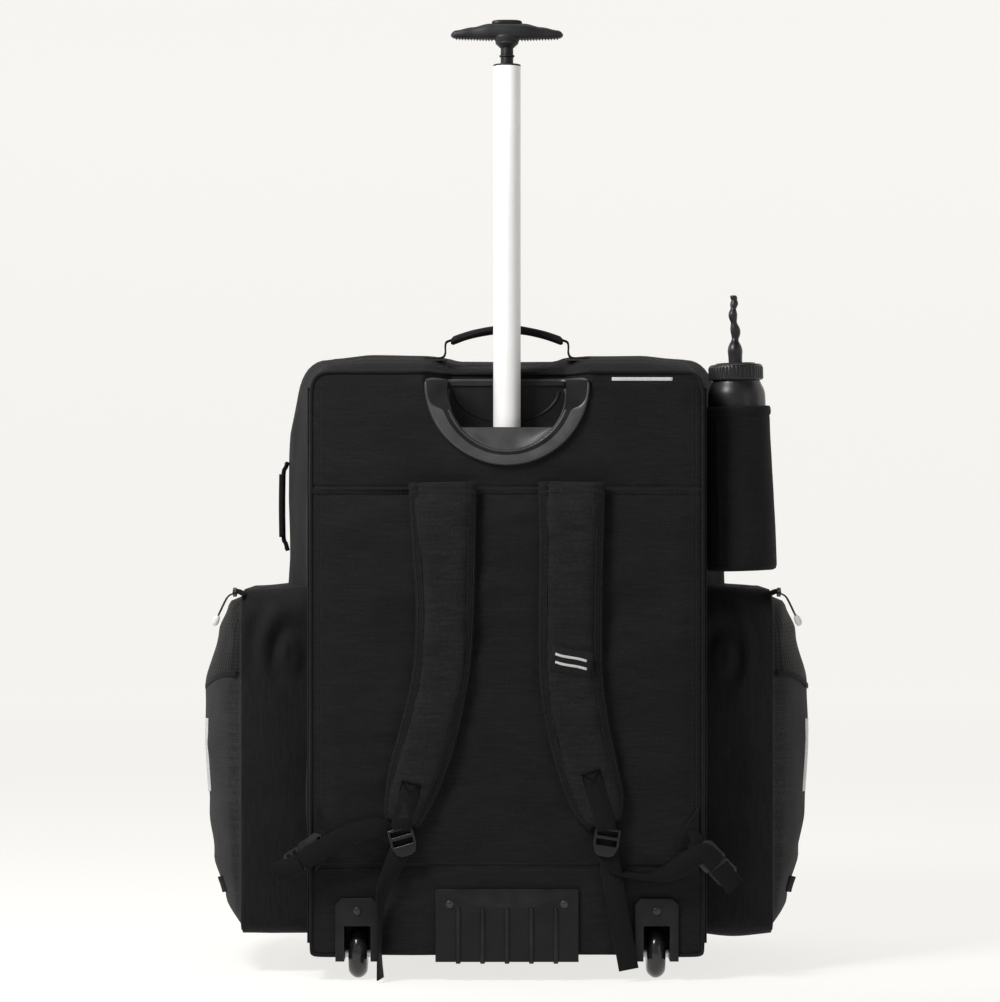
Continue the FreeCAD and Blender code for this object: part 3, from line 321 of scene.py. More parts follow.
# The recess rim's moulding: black plastic with its own satin gloss, its base colour set about five times
# lighter than the other mouldings as painted highlight for the light the rim and the face below the shelf
# catch.
BEZEL_PAINTED_LIGHT = moulded("bezel_moulding_painted_light", (0.042, 0.042, 0.0427), 0.36, shine=0.6)
MOULDING_MATT = moulded("moulding_matt", (0.009, 0.009, 0.0095), 0.55, 0.2)
GRIP = moulded("grip_moulding", (0.0095, 0.0095, 0.0099), 0.5, 0.25, shine=0.3)
BUCKLE = moulded("buckle_acetal", (0.0075, 0.0075, 0.0079), 0.3, 0.06, 0.6, 0.34)
BOARD = moulded("board", (0.03, 0.03, 0.031), 0.5, 0.15)
POLE = metal("pole_satin", (0.84, 0.835, 0.828), 0.5, 0.06)
INNER_METAL = metal("tube_metal", (0.62, 0.62, 0.64), 0.38)
STEEL = metal("steel", (0.55, 0.55, 0.56), 0.3, 1.0, (1, 1, 1))
DARK_STEEL = metal("dark_steel", (0.12, 0.12, 0.122), 0.36, 1.0, (1, 1, 1))
RIVET = moulded("rivet_paint", (0.02, 0.02, 0.021), 0.3, 0.05)
TYRE = tyre_cast("tyre_urethane", (0.011, 0.011, 0.0115))
HUB = moulded("hub_moulding", (0.02, 0.02, 0.021), 0.38)
BOTTLE = smoked("bottle_smoked", (0.013, 0.013, 0.0138))
CAP = moulded("cap_moulding", (0.013, 0.013, 0.0137), 0.36, 0.1)
STRIPE = cloth("reflective_stripe", (0.55, 0.55, 0.54), pitch=0.0008, sheen=0.05, slub=0.06)
PULL_TIP = moulded("pull_tip", (0.62, 0.62, 0.6), 0.4, 0.08, 0.05)
LABEL = cloth("woven_label", (0.012, 0.012, 0.0125), pitch=0.0005, sheen=0.06)


# --- Mesh helpers ------------------------------------------------------------------------------


@contextlib.contextmanager
def opened(piece):
    """The piece's mesh opened for editing, and written back afterwards."""
    edit = bmesh.new()
    edit.from_mesh(piece.data)
    yield edit
    edit.to_mesh(piece.data)
    edit.free()


def finish_piece(piece, body, material, slot, replaces=(), padded=None):
    """Gives a piece its material and body, and hides the CAD nodes that it stands for. Its slot is not used.
    """
    piece.data.materials.clear()
    for one in material if isinstance(material, list) else [material]:
        piece.data.materials.append(one)
    if body:
        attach(piece, body)
    if replaces:
        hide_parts(*replaces)
    return piece


def new_piece(name, vertices, faces, uvs=None, shaded=True):
    """A mesh object from points in metres; uvs has one pair for each vertex of each face."""
    mesh = bpy.data.meshes.new(name)
    mesh.from_pydata(vertices, [], faces)
    if uvs is not None:
        layer = mesh.uv_layers.new(name="measured")
        layer.data.foreach_set("uv", np.asarray(uvs, dtype=np.float32).ravel())
    mesh.validate()
    mesh.update()
    if shaded:
        mesh.shade_smooth()
    piece = bpy.data.objects.new(name, mesh)
    bpy.context.scene.collection.objects.link(piece)
    return piece


def grid_piece(name, grid, closed=False, keep=None, flip=False):
    """A surface through rows of (x, depth, z) points, with UVs in metres along it."""
    points = np.array([[place(*p) for p in row] for row in grid])
    rows, cols = points.shape[:2]
    points_next = np.concatenate([points, points[:, :1]], axis=1) if closed else points
    across = np.zeros(points_next.shape[:2])
    across[:, 1:] = np.cumsum(np.linalg.norm(np.diff(points_next, axis=1), axis=2), axis=1)
    across -= across.mean(axis=1, keepdims=True)
    down = np.zeros((rows, points_next.shape[1]))
    down[1:] = np.cumsum(np.linalg.norm(np.diff(points_next, axis=0), axis=2), axis=0)
    faces, uvs = [], []
    for r in range(rows - 1):
        for c in range(points_next.shape[1] - 1):
            if keep is not None and not keep(r, c):
                continue
            n = (c + 1) % cols
            face = [r * cols + c, r * cols + n, (r + 1) * cols + n, (r + 1) * cols + c]
            spots = [(r, c), (r, c + 1), (r + 1, c + 1), (r + 1, c)]
            if flip:
                face.reverse()
                spots.reverse()
            faces.append(face)
            uvs += [(across[s], down[s]) for s in spots]
    piece = new_piece(name, points.reshape(-1, 3).tolist(), faces, uvs)
    with opened(piece) as edit:
        bmesh.ops.delete(edit, geom=[v for v in edit.verts if not v.link_faces], context="VERTS")
    return piece


def flat_weave(piece):
    """Lays the weave of a side panel straight up and along it."""
    layer = piece.data.uv_layers["measured"]
    spots = coordinates_of(piece.data)
    corners = np.empty(len(piece.data.loops), dtype=np.int32)
    piece.data.loops.foreach_get("vertex_index", corners)
    layer.data.foreach_set("uv", spots[corners][:, 1:3].astype(np.float32).ravel())


def thicken(piece, thickness, offset=-1):
    """Gives a surface its cloth's thickness, on its inner side unless offset says otherwise."""
    made = piece.modifiers.new("thickness", "SOLIDIFY")
    made.thickness = thickness * MM
    made.offset = offset


def subdivide(piece):
    made = piece.modifiers.new("smooth", "SUBSURF")
    made.levels = made.render_levels = 1


def bevelled(piece, width):
    """Softens the sharp edges of a hard piece."""
    made = piece.modifiers.new("edges", "BEVEL")
    made.width = width * MM
    made.segments = 2
    made.limit_method = "ANGLE"
    made.angle_limit = math.radians(35)
    made.harden_normals = True


def tube(name, points, radius, closed=False):
    """A round cord or piping through (x, depth, z) points."""
    curve = bpy.data.curves.new(name, "CURVE")
    curve.dimensions = "3D"
    curve.bevel_depth = radius * MM
    curve.bevel_resolution = 3
    curve.resolution_u = 4
    curve.use_fill_caps = True
    spline = curve.splines.new("NURBS")
    spline.points.add(len(points) - 1)
    for spot, point in zip(spline.points, points):
        spot.co = (*place(*point), 1)
    spline.order_u = 3
    spline.use_endpoint_u = not closed
    spline.use_cyclic_u = closed
    piece = bpy.data.objects.new(name, curve)
    bpy.context.scene.collection.objects.link(piece)
    return piece


def resampled(points, step):
    """Points every step millimetres along a route, with the unit direction at each."""
    route = np.array(points, dtype=float)
    lengths = np.concatenate([[0], np.cumsum(np.linalg.norm(np.diff(route, axis=0), axis=1))])
    count = max(2, int(lengths[-1] / step) + 1)
    at = np.linspace(0, lengths[-1], count)
    spots = np.stack([np.interp(at, lengths, route[:, axis]) for axis in range(3)], axis=1)
    heading = np.gradient(spots, axis=0)
    return spots, heading / np.linalg.norm(heading, axis=1, keepdims=True)


# A stitch, seen from its side: how far along, how high and how wide it is at each of its four stations.
STITCH = ((-0.5, -0.2, 0.3), (-0.32, 0.25, 0.5), (0.32, 0.25, 0.5), (0.5, -0.2, 0.3))
STITCH_FACES = ((0, 1, 3, 2), (2, 3, 5, 4), (4, 5, 7, 6), (0, 2, 4, 6), (7, 5, 3, 1), (6, 7, 1, 0))


def stitched(
    name, runs, body, normal=(0, -1, 0), step=4.6, length=3.4, width=0.9, slot="webbing", material=THREAD
):
    """Rows of thread, each stitch a small rounded bar on the cloth along its run."""
    vertices, faces = [], []
    for run in runs:
        for spot, ahead in zip(*resampled(run, step)):
            side = np.cross(ahead, normal)
            side /= max(1e-9, np.linalg.norm(side))
            up = np.cross(side, ahead)
            faces += [[len(vertices) + k for k in face] for face in STITCH_FACES]
            for reach, high, wide in STITCH:
                for hand in (-1, 1):
                    spot_at = spot + ahead * reach * length + up * high + side * hand * wide * width
                    vertices.append(place(*spot_at))
    piece = new_piece(name, vertices, faces)
    with opened(piece) as edit:
        bmesh.ops.recalc_face_normals(edit, faces=edit.faces)
    finish_piece(piece, body, material, slot)


def ribbon(name, route, width, thick, normals, samples):
    """Flat webbing along a smooth route. Each route point is (x, depth, z), and normals gives which way its
    face looks there: towards the viewer where there are none."""
    spots = catmull(np.array(route, dtype=float), samples)
    facing = catmull(np.array(normals or [(0, -1, 0)] * len(route), dtype=float), samples)
    heading = np.gradient(spots, axis=0)
    heading /= np.linalg.norm(heading, axis=1, keepdims=True)
    half, edge = width / 2, width / 2 - 0.5
    grid = []
    for spot, ahead, face in zip(spots, heading, facing):
        side = np.cross(ahead, face)
        side /= np.linalg.norm(side)
        up = np.cross(side, ahead)
        section = [(-half, 0), (-edge, thick / 2), (0, thick / 2), (edge, thick / 2), (half, 0)]
        section += [(edge, -thick / 2), (0, -thick / 2), (-edge, -thick / 2)]
        grid.append([tuple(spot + side * a + up * b) for a, b in section])
    piece = grid_piece(name, grid, closed=True)
    cap_ends(piece)
    return piece


def cap_ends(piece):
    """Closes the piece's open ends."""
    with opened(piece) as edit:
        open_edges = [e for e in edit.edges if e.is_boundary]
        if open_edges:
            bmesh.ops.holes_fill(edit, edges=open_edges, sides=0)
        bmesh.ops.recalc_face_normals(edit, faces=edit.faces)


def sewn(name, body, route, width, thick, normals=None, samples=8, material=WEBBING, slot="webbing", **marks):
    """Webbing or tape along a route, finished."""
    return finish_piece(ribbon(name, route, width, thick, normals, samples), body, material, slot, **marks)


def piped(name, body, points, radius, closed=False):
    """A line of cloth piping, finished."""
    finish_piece(tube(name, points, radius, closed), body, TAPE_FREE, "pack_cloth")


def catmull(points, samples):
    """Points on a smooth curve through the given ones."""
    padded = np.vstack([2 * points[0] - points[1], points, 2 * points[-1] - points[-2]])
    made = []
    for i in range(1, len(padded) - 2):
        p0, p1, p2, p3 = padded[i - 1 : i + 3]
        for t in np.linspace(0, 1, samples, endpoint=False):
            bend = (2 * p0 - 5 * p1 + 4 * p2 - p3) * t * t
            made.append(0.5 * (2 * p1 + (p2 - p0) * t + bend + (3 * p1 - p0 - 3 * p2 + p3) * t**3))
    made.append(points[-1])
    return np.array(made)


def lathe(name, profile, centre, axis=(0, 0, 1), steps=72, warp=None):
    """A profile of (radius, height) turned about an axis through centre, in millimetres."""
    axis = Vector(axis).normalized()
    first = axis.orthogonal().normalized()
    second = axis.cross(first)
    grid = []
    for radius, height in profile:
        ring = []
        for step in range(steps):
            turn = 2 * math.pi * step / steps
            wide = radius if warp is None else radius + warp(radius, height, turn)
            spot = Vector(centre) + axis * height + (first * math.cos(turn) + second * math.sin(turn)) * wide
            ring.append(tuple(spot))
        grid.append(ring)
    piece = grid_piece(name, grid, closed=True)
    with opened(piece) as edit:
        bmesh.ops.remove_doubles(edit, verts=edit.verts, dist=1e-6)
    cap_ends(piece)
    return piece


# The shoulder pads' simulation: the remesh and the most that it moves a surface, in metres, and its frames.
PAD_VOXEL, PAD_REACH, PAD_FRAMES = 0.0045, 0.0022, 16


def puffed(piece):
    """Fills a closed pad with air: voxel remesh, cloth under pressure, and a cap on how far it moves."""
    scene = bpy.context.scene
    bpy.context.view_layer.objects.active = piece
    remesh = piece.modifiers.new("remesh", "REMESH")
    remesh.mode = "VOXEL"
    remesh.voxel_size = PAD_VOXEL
    applied(piece)
    rest = coordinates_of(piece.data)
    made = piece.modifiers.new("air", "CLOTH")
    settings = made.settings
    settings.quality = 5
    settings.mass = 0.2
    settings.tension_stiffness = 12
    settings.compression_stiffness = 12
    settings.bending_stiffness = 0.4
    settings.use_pressure = True
    settings.uniform_pressure_force = 3.5
    settings.effector_weights.gravity = 0
    settings.shrink_min = -0.02
    made.point_cache.frame_start = 1
    made.point_cache.frame_end = PAD_FRAMES
    for number in range(1, PAD_FRAMES + 1):
        scene.frame_set(number)
    moved = coordinates_of(piece.evaluated_get(bpy.context.evaluated_depsgraph_get()).data)
    piece.modifiers.remove(made)
    scene.frame_set(1)
    shift = moved - rest
    reach = np.linalg.norm(shift, axis=1, keepdims=True)
    rest += shift * np.minimum(1.0, PAD_REACH / np.maximum(reach, 1e-9))
    piece.data.vertices.foreach_set("co", rest.astype(np.float32).ravel())
    piece.data.update()
    piece.data.shade_smooth()
    subdivide(piece)


def coordinates_of(mesh):
    spots = np.empty(len(mesh.vertices) * 3, dtype=np.float32)
    mesh.vertices.foreach_get("co", spots)
    return spots.reshape(-1, 3).astype(float)


def applied(piece):
    """The piece's mesh with its modifiers made real."""
    mesh = bpy.data.meshes.new_from_object(piece.evaluated_get(bpy.context.evaluated_depsgraph_get()))
    piece.modifiers.clear()
    piece.data = mesh


# --- The shell of the bag ----------------------------------------------------------------------

CORNER = 19  # radius of the back panel's upper corners
SEAM_HIGH, SEAM_LOW = 613, 143  # the back panel's two cross seams
SCOOP_Z, SCOOP_R = 748, 103  # middle and radius of the handle recess's rim
PANEL_TOP = 744  # where the back panel starts to turn in to its upper edge
HOUSINGS = [(hand * WHEEL_X, 27.5, 104) for hand in (-1, 1)]  # middle, half width and top
KICK_PLATE = (0, 90, 116)
# How far the sides stand out at each depth, and the share of that at each height.
BULGE = [(0, 1), (20, 3), (90, 8), (150, 34), (190, 40), (280, 40), (340, 30), (DEPTH, 17)]
BULGE_SHARE = [(35, 0.08), (90, 0.55), (150, 1), (600, 1), (690, 0.88), (728, 0.7), (762, 0.5)]
# How the top's padding rises across the bag and from its back edge to its front one.
CREST = [(0, 0.6), (58, 0.66), (80, 0.98), (105, 1.03), (170, 1.05), (215, 0.8), (244, 0.22)]
RISE = [(0, 0), (20, 0.45), (48, 0.74), (78, 0.84), (112, 1), (300, 1), (350, 0.7), (DEPTH, 0)]


def edge_top(x):
    """Height of the back panel's upper edge."""
    over = max(0.0, abs(x) - (HALF - CORNER))
    return TOP + 3 - (CORNER - math.sqrt(max(0.0, CORNER**2 - over**2)))


def valley(x):
    """How deep the upper edge runs in behind the pole."""
    return 60 * smooth((106 - abs(x)) / 34)


def plate_mask(x, z):
    """0 under the wheel housings and the kick plate, 1 clear of them."""
    gap = min(max(abs(x - centre) - half, z - high) for centre, half, high in [*HOUSINGS, KICK_PLATE])
    return smooth((gap - 1) / 12)


def back_depth(x, z):
    """Depth of the back panel's outer surface: padded between its seams, and sunk along them."""
    edge = smooth((HALF - abs(x)) / 34)
    if z > SEAM_HIGH + 5:
        puff = 2.0 * smooth((z - SEAM_HIGH - 5) / 30) * smooth((edge_top(x) - z) / 24)
    elif z > SEAM_LOW:
        puff = 4.6 * smooth((z - SEAM_LOW) / 40) * smooth((SEAM_HIGH - z + 5) / 40)
    else:
        puff = 2.2 * smooth((SEAM_LOW - z) / 20) * plate_mask(x, z)
    wrinkle = 4.6 * rough(x * 0.8, 0, z * 1.7, 95, 1) + 2.4 * rough(x * 0.5, 0, z * 2.0, 42, 2)
    wrinkle *= plate_mask(x, z) * (0.35 if z > SEAM_HIGH else 1.0)
    corner = smooth((z - SEAM_LOW) / 40) * bell((z - 205) / 70)
    slant = math.sin((abs(x) * 0.55 + z) / 11)
    wrinkle += 0.7 * slant * corner * bell((abs(x) - 196) / 34)
    seam = 1.6 * bell((z - SEAM_HIGH - 5) / 1.6) + 1.5 * bell((z - SEAM_LOW) / 2.2)
    seam += 0.8 * bell((z - SEAM_HIGH + 5) / 1.5)
    ridge = 1.1 * smooth((z - SEAM_HIGH + 4) / 2) * smooth((SEAM_HIGH + 5 - z) / 2)
    deep = valley(x) * smooth((z - 734) / 8)
    return deep - (puff + wrinkle) * edge - ridge + seam


def spaced(low, high, step, extra=()):
    """Stations every step millimetres, with finer ones around the places in extra."""
    stations = set(np.linspace(low, high, max(2, round((high - low) / step) + 1)).round(2))
    for spot in extra:
        for shift in (-5, -3.2, -1.6, 0, 1.6, 3.2, 5):
            if low < spot + shift < high:
                stations.add(round(spot + shift, 2))
    ordered = sorted(stations)
    kept = [ordered[0]]
    for station in ordered[1:]:
        if station - kept[-1] > 0.9:
            kept.append(station)
    return kept


def middle_of(grid, r, c):
    """The middle of one of a grid's faces."""
    return np.mean([grid[r][c], grid[r][c + 1], grid[r + 1][c], grid[r + 1][c + 1]], axis=0)


def back_panel():
    """The padded back panel with its seams, open at the wheels and the handle recess."""
    columns = np.linspace(-HALF, HALF, 111)
    heights = spaced(FLOOR_GAP + 1, PANEL_TOP, 5.5, (SEAM_HIGH + 5, SEAM_HIGH - 5, SEAM_LOW))
    grid = [[(x, back_depth(x, z), z) for x in columns] for z in heights]
    for share in (0.2, 0.4, 0.6, 0.8, 1.0):
        row = []
        for x in columns:
            z = edge_top(x)
            if z > PANEL_TOP:
                z = PANEL_TOP + (z - PANEL_TOP) * share
            row.append((x, back_depth(x, max(z, PANEL_TOP - 2)) if share < 1 else valley(x) + 1, z))
        grid.append(row)

    def keep(r, c):
        x, _, z = middle_of(grid, r, c)
        wheel_well = abs(abs(x) - WHEEL_X) < 21 and z < 88
        recess = math.hypot(x, min(0, z - SCOOP_Z)) < 88 and z < SCOOP_Z + 1
        return not (wheel_well or recess)

    panel = grid_piece("back_panel_cloth", grid, keep=keep)
    thicken(panel, 4)
    finish_piece(panel, "bag", CLOTH, "pack_cloth", ["back_panel"], padded=0.5)

    def run(spots):
        return [(x, back_depth(x, z) - 0.2, z) for x, z in spots]

    stations = np.linspace(6 - HALF, HALF - 6, 60)
    seams = (SEAM_HIGH - 3, SEAM_HIGH + 2, SEAM_LOW - 4.5, SEAM_LOW + 4)
    stitched("back_seam_stitches", [run([(x, z) for x in stations]) for z in seams], "bag")
    stations = np.linspace(SEAM_LOW + 8, 738, 60)
    edges = (7 - HALF, 12 - HALF, HALF - 7, HALF - 12)
    stitched("back_edge_stitches", [run([(x, z) for z in stations]) for x in edges], "bag")


def outline(d):
    """The gusset's section at a depth: up the left side, over the top and down the right."""
    bulge = straight(BULGE, d)
    near = along(RISE, d)
    filled = along([(0, 0), (110, 0.25), (200, 1), (300, 0.9), (DEPTH, 0)], d)
    flat = [(-HALF, z) for z in np.linspace(FLOOR_GAP + 3, TOP - 24, 62)]
    turn = [(24 - HALF - 24 * math.cos(a), TOP - 24 + 27 * math.sin(a)) for a in np.linspace(0.2, 1.45, 7)]
    over = [(x, TOP + 3) for x in np.linspace(-HALF + 30, 0, 30)]
    left = flat + turn + over
    section = []
    for x, z in left + [(-x, z) for x, z in reversed(left[:-1])]:
        wide = x + math.copysign(bulge * straight(BULGE_SHARE, z), x) * smooth((abs(x) - 150) / 90)
        crest = along(CREST, abs(x))
        lift = 23 * near * crest + 17 * filled * max(0.0, 1 - crest)
        section.append((wide, z + lift * smooth((z - 715) / 45)))
    return section


def gusset():
    """The band of cloth round the sides and the top, from the back piping to the front one."""
    depths = [0, 3, 10] + list(np.linspace(20, DEPTH - 6, 54)) + [DEPTH - 1]
    grid = []
    for d in depths:
        row = []
        for x, z in outline(d):
            start = valley(x) * smooth((z - 740) / 14)
            at = start + d * (DEPTH - start) / DEPTH if z > 740 else d
            soft = smooth(min(d, DEPTH - d) / 50)
            x_out = math.copysign(1, x) * smooth((abs(x) - 200) / 40)
            bump = 5.5 * rough(at, x * 0.2, z * 0.8, 120, 4) + 2.4 * rough(at * 1.3, x * 0.3, z * 0.6, 46, 5)
            bump *= soft
            row.append((x + x_out * bump * smooth((TOP - z) / 40), at, z + (1 - abs(x_out)) * bump * 0.5))
        grid.append(row)
    band = grid_piece("gusset_cloth", grid, flip=True)
    thicken(band, 2)
    panels = ["side_panel_left", "side_panel_right", "top_panel"]
    finish_piece(band, "bag", [SIDE_CLOTH, RIBBED], "side_cloth", panels)
    for polygon in band.data.polygons:
        x, y, z = polygon.center / MM
        near = y - BACK_Y / MM < 46 + valley(x)
        polygon.material_index = int(z > TOP + 3.5 and near and abs(x) < 232)


def base():
    """The underside: a wear panel whose edges curl up into the gusset."""
    grid = []
    for d in np.linspace(0, DEPTH - 1, 40):
        row = []
        for x in np.linspace(-HALF - 2, HALF + 2, 50):
            rim = min((HALF + 2 - abs(x)) / 10, (DEPTH - d) / 10, 1)
            z = FLOOR_GAP + 0.5 + 4.5 * (1 - smooth(rim)) + 0.5 * rough(x, d, 0, 60, 8)
            row.append((x, d, z))
        grid.append(row)

    def keep(r, c):
        return not (abs(abs(middle_of(grid, r, c)[0]) - WHEEL_X) < 26 and grid[r][c][1] < 68)

    panel = grid_piece("base_cloth", grid, keep=keep)
    thicken(panel, 2, 1)
    finish_piece(panel, "bag", CLOTH, "pack_cloth", ["bottom_panel"])


RIM_STATIONS = (-222, -180, -140, -118, -108, -103, -98, -93, -88, -83, -78, -73, -66, -50, -25, 0)


def back_rim():
    """The path of the piping round the back panel."""
    left = [(-HALF - 1, 0, z) for z in (FLOOR_GAP + 6, 120, 250, 400, 550, 680, 725, TOP - CORNER - 2)]
    for turn in (0.35, 0.75, 1.15):
        x = -HALF + CORNER - CORNER * math.cos(turn)
        left.append((x, 0, TOP + 3 - CORNER + CORNER * math.sin(turn)))
    over = [(x, valley(x) * 0.98, TOP + 3.4) for x in RIM_STATIONS]
    half = left + over
    lower = [(-HALF + 1, 0, FLOOR_GAP + 1), (-232, 0, FLOOR_GAP), (-212, 0, FLOOR_GAP)]
    half = lower[::-1] + half
    return half + [(-x, d, z) for x, d, z in reversed(half[:-1])]


def piping():
    piped("back_piping", "bag", back_rim(), 2.3)
    front = outline(DEPTH - 1)[::3] + [(HALF - 4, FLOOR_GAP + 1), (0, FLOOR_GAP), (4 - HALF, FLOOR_GAP + 1)]
    piped("front_piping", "bag", [(x, DEPTH - 1, z) for x, z in front], 2.3, closed=True)
    for side, hand in SIDES.items():
        route = [(hand * (HALF + 5), 13, z) for z in (FLOOR_GAP + 14, 200, 400, 600, 720, 742)]
        piped(f"side_welt_{side}", "bag", route, 1.6)


# --- The front, away from the straps -----------------------------------------------------------


def in_door(x, z):
    """True inside the door's outline."""
    if abs(x) > DOOR_HALF or not DOOR_LOW < z < DOOR_HIGH:
        return False
    return abs(x) + z < DOOR_HALF + DOOR_HIGH - DOOR_CUT


def door_path(grow=0.0):
    """Up round the door's outline and down again, taken out by grow."""
    half, high = DOOR_HALF + grow, DOOR_HIGH + grow
    turn = ((0, 92), (8, 62), (30, 30), (62, 6), (92, 0))
    left = [(-half, DOOR_LOW + 4)] + [(inwards - half, high - down) for inwards, down in turn]
    path = left + [(0, high)] + [(-x, z) for x, z in reversed(left)]
    return [(x, DEPTH + 1.2, z) for x, z in path]


def front():
    """The front's border, the padded door with its pocket, and the zip between them."""
    grid = []
    for z in np.linspace(FLOOR_GAP + 3, TOP + 2, 90):
        half = straight([(35, 246), (90, 256), (150, 261), (640, 261), (728, 257), (745, 252), (761, 236)], z)
        xs = np.linspace(-1, 1, 80) * half
        grid.append([(x, DEPTH - 0.5 + 1.2 * rough(x, 0, z, 70, 9), z) for x in xs])

    def keep(r, c):
        (x0, _, z0), (x1, _, z1) = grid[r][c], grid[r + 1][c + 1]
        return not in_door((x0 + x1) / 2, (z0 + z1) / 2)

    border = grid_piece("front_border_cloth", grid, keep=keep, flip=True)
    thicken(border, 2)
    finish_piece(border, "bag", CLOTH, "pack_cloth", ["front_frame"])

    rows = []
    for z in np.linspace(DOOR_LOW + 1, DOOR_HIGH - 1, 96):
        half = DOOR_HALF - 1
        over = z - (DOOR_HIGH - DOOR_CUT)
        if over > 0:
            half -= DOOR_CUT * (1 - math.sqrt(max(0.0, 1 - (over / (DOOR_CUT + 1)) ** 2))) * 0.96
        row = []
        for u in np.linspace(-1, 1, 72):
            x = u * half
            puff = 9 * smooth((half - abs(x)) / 50)
            puff *= smooth((DOOR_HIGH - z) / 50) * smooth((z - DOOR_LOW) / 50)
            puff += 1.8 * rough(x, 0, z * 1.2, 80, 11) * smooth((half - abs(x)) / 30)
            puff -= 1.5 * bell((z - 470) / 2.5)
            row.append((x, DEPTH + puff - 1, z))
        rows.append(row)
    door = grid_piece("door_cloth", rows, flip=True)
    thicken(door, 2.5)
    finish_piece(door, "door", CLOTH, "pack_cloth", ["front_door"], padded=0.35)

    half, low, high = 168, 118, 448
    rows = []
    for z in np.linspace(low, high, 60):
        row = []
        for x in np.linspace(-half, half, 60):
            rim = min((half - abs(x)) / 26, (z - low) / 26, (high - z) / 18, 1)
            puff = 7 + 11 * smooth(rim) + 2.2 * rough(x, 0, z, 90, 12) * smooth(rim)
            row.append((x, DEPTH + puff * smooth(rim * 4) - 2 * (1 - smooth(rim * 4)), z))
        rows.append(row)
    pocket = grid_piece("front_pocket_cloth", rows, flip=True)
    thicken(pocket, 1.5)
    finish_piece(pocket, "door", SIDE_CLOTH, "side_cloth", padded=0.4)
    rim = [(-half, low), (-half, 280), (-half, high - 8), (8 - half, high), (0, high)]
    rim += [(-x, z) for x, z in reversed(rim[:-1])] + [(0, low)]
    piped("front_pocket_piping", "door", [(x, DEPTH + 6, z) for x, z in rim], 2, closed=True)
    route = [(x, DEPTH + 17.5, high - 15) for x in np.linspace(-150, 150, 30)]
    zip_track("front_pocket_zip", route, "door", 9)
    zip_track("door_zip", door_path(1), "bag", 11)
    stitched("front_stitches", [door_path(9), door_path(13)], "bag", normal=(0, 1, 0))


BOX_FACES = ((0, 1, 3, 2), (4, 6, 7, 5), (0, 4, 5, 1), (2, 3, 7, 6), (0, 2, 6, 4), (1, 5, 7, 3))


def zip_track(name, route, body, width):
    """Zip tape with a row of interlocking coil teeth along its middle, on the bag's front."""
    facing = np.array((0.0, 1.0, 0.0))
    route = [tuple(spot) for spot in resampled(route, 12)[0]]
    sewn(name + "_tape", body, route, width * 2, 0.8, [tuple(facing)] * len(route), 2, TAPE, "pack_cloth")
    vertices, faces = [], []
    for index, (spot, ahead) in enumerate(zip(*resampled(route, 2.6))):
        side = np.cross(ahead, facing)
        side /= np.linalg.norm(side)
        hand = 1 if index % 2 else -1
        faces += [[len(vertices) + k for k in face] for face in BOX_FACES]
        for wide, high, reach in itertools.product((-0.6, 3.2), (0.2, 1.7), (-0.8, 0.8)):
            vertices.append(place(*(spot + side * wide * hand + facing * high + ahead * reach)))
    teeth = new_piece(name + "_teeth", vertices, faces, shaded=False)
    cap_ends(teeth)
    finish_piece(teeth, body, MOULDING_MATT, "moulding")


# --- Skate pockets -----------------------------------------------------------------------------


def ring_point(turn, inset=0.0):
    """A point (depth, z) on the pocket's outline, turn from 0 to 1 round it from its lower back corner."""
    d0, d1 = POCKET_BACK + inset, POCKET_FRONT - inset
    z0, z1 = POCKET_LOW + inset, POCKET_HIGH - inset
    low, high = 20, 44
    corners = []
    for centre_d, centre_z, radius, start in (
        (d0 + high, z1 - high, high, math.pi),
        (d1 - high, z1 - high, high, math.pi / 2),
        (d1 - low, z0 + low, low, 0),
        (d0 + low, z0 + low, low, -math.pi / 2),
    ):
        for share in np.linspace(0, 1, 9):
            a = start - share * math.pi / 2
            corners.append((centre_d + radius * math.cos(a), centre_z + radius * math.sin(a)))
    route = np.array([corners[-1]] + corners)
    lengths = np.concatenate([[0], np.cumsum(np.linalg.norm(np.diff(route, axis=0), axis=1))])
    at = (turn % 1) * lengths[-1]
    return float(np.interp(at, lengths, route[:, 0])), float(np.interp(at, lengths, route[:, 1]))


def side_face(d, z):
    """Half width of the bag at a depth and a height, as the gusset has it."""
    return HALF + straight(BULGE, d) * straight(BULGE_SHARE, z)


def pocket(side):
    """One skate pocket's soft walls and the piped edge round them."""
    hand = SIDES[side]
    turns = 150
    rings = []
    for share in np.linspace(0, 1, 26):
        ring = []
        for k in range(turns):
            d, z = ring_point(k / turns)
            inner = side_face(d, z) - 3
            x = inner + (POCKET_EDGE - inner) * share
            out_d = (d - POCKET_D) / 140
            out_z = (z - POCKET_Z) / 220
            norm = math.hypot(out_d, out_z)
            belly = math.sin(math.pi * share)
            crease = 8.0 * rough(x * 0.7, d, z * 0.7, 62, 20 + hand) * belly
            high = smooth((z - 350) / 70) * smooth((POCKET_HIGH - 10 - z) / 26)
            arch = math.hypot((x - inner) * 1.25 - 34, (z - 404) * 0.8)
            fold = math.sin(arch / 6.0) * 8.5 * high * belly * smooth((90 - d) / 20)
            puff = 3.5 * belly + crease + fold
            rise = 5 * (1 - share) ** 2 * smooth((z - 440) / 40)
            level = 0.7 if z < 300 else 0.3
            ring.append((hand * x, d + puff * out_d / norm, z + puff * out_z / norm * level + rise))
        rings.append(ring)
    walls = grid_piece(f"pocket_walls_{side}", rings, closed=True, flip=hand < 0)
    thicken(walls, 2)
    finish_piece(walls, "bag", SIDE_CLOTH, "side_cloth", [f"skate_pocket_{side}"])
    rim = [(hand * (POCKET_EDGE - 1), *ring_point(k / 60)) for k in range(60)]
    piped(f"pocket_piping_{side}", "bag", rim, 2.2, closed=True)


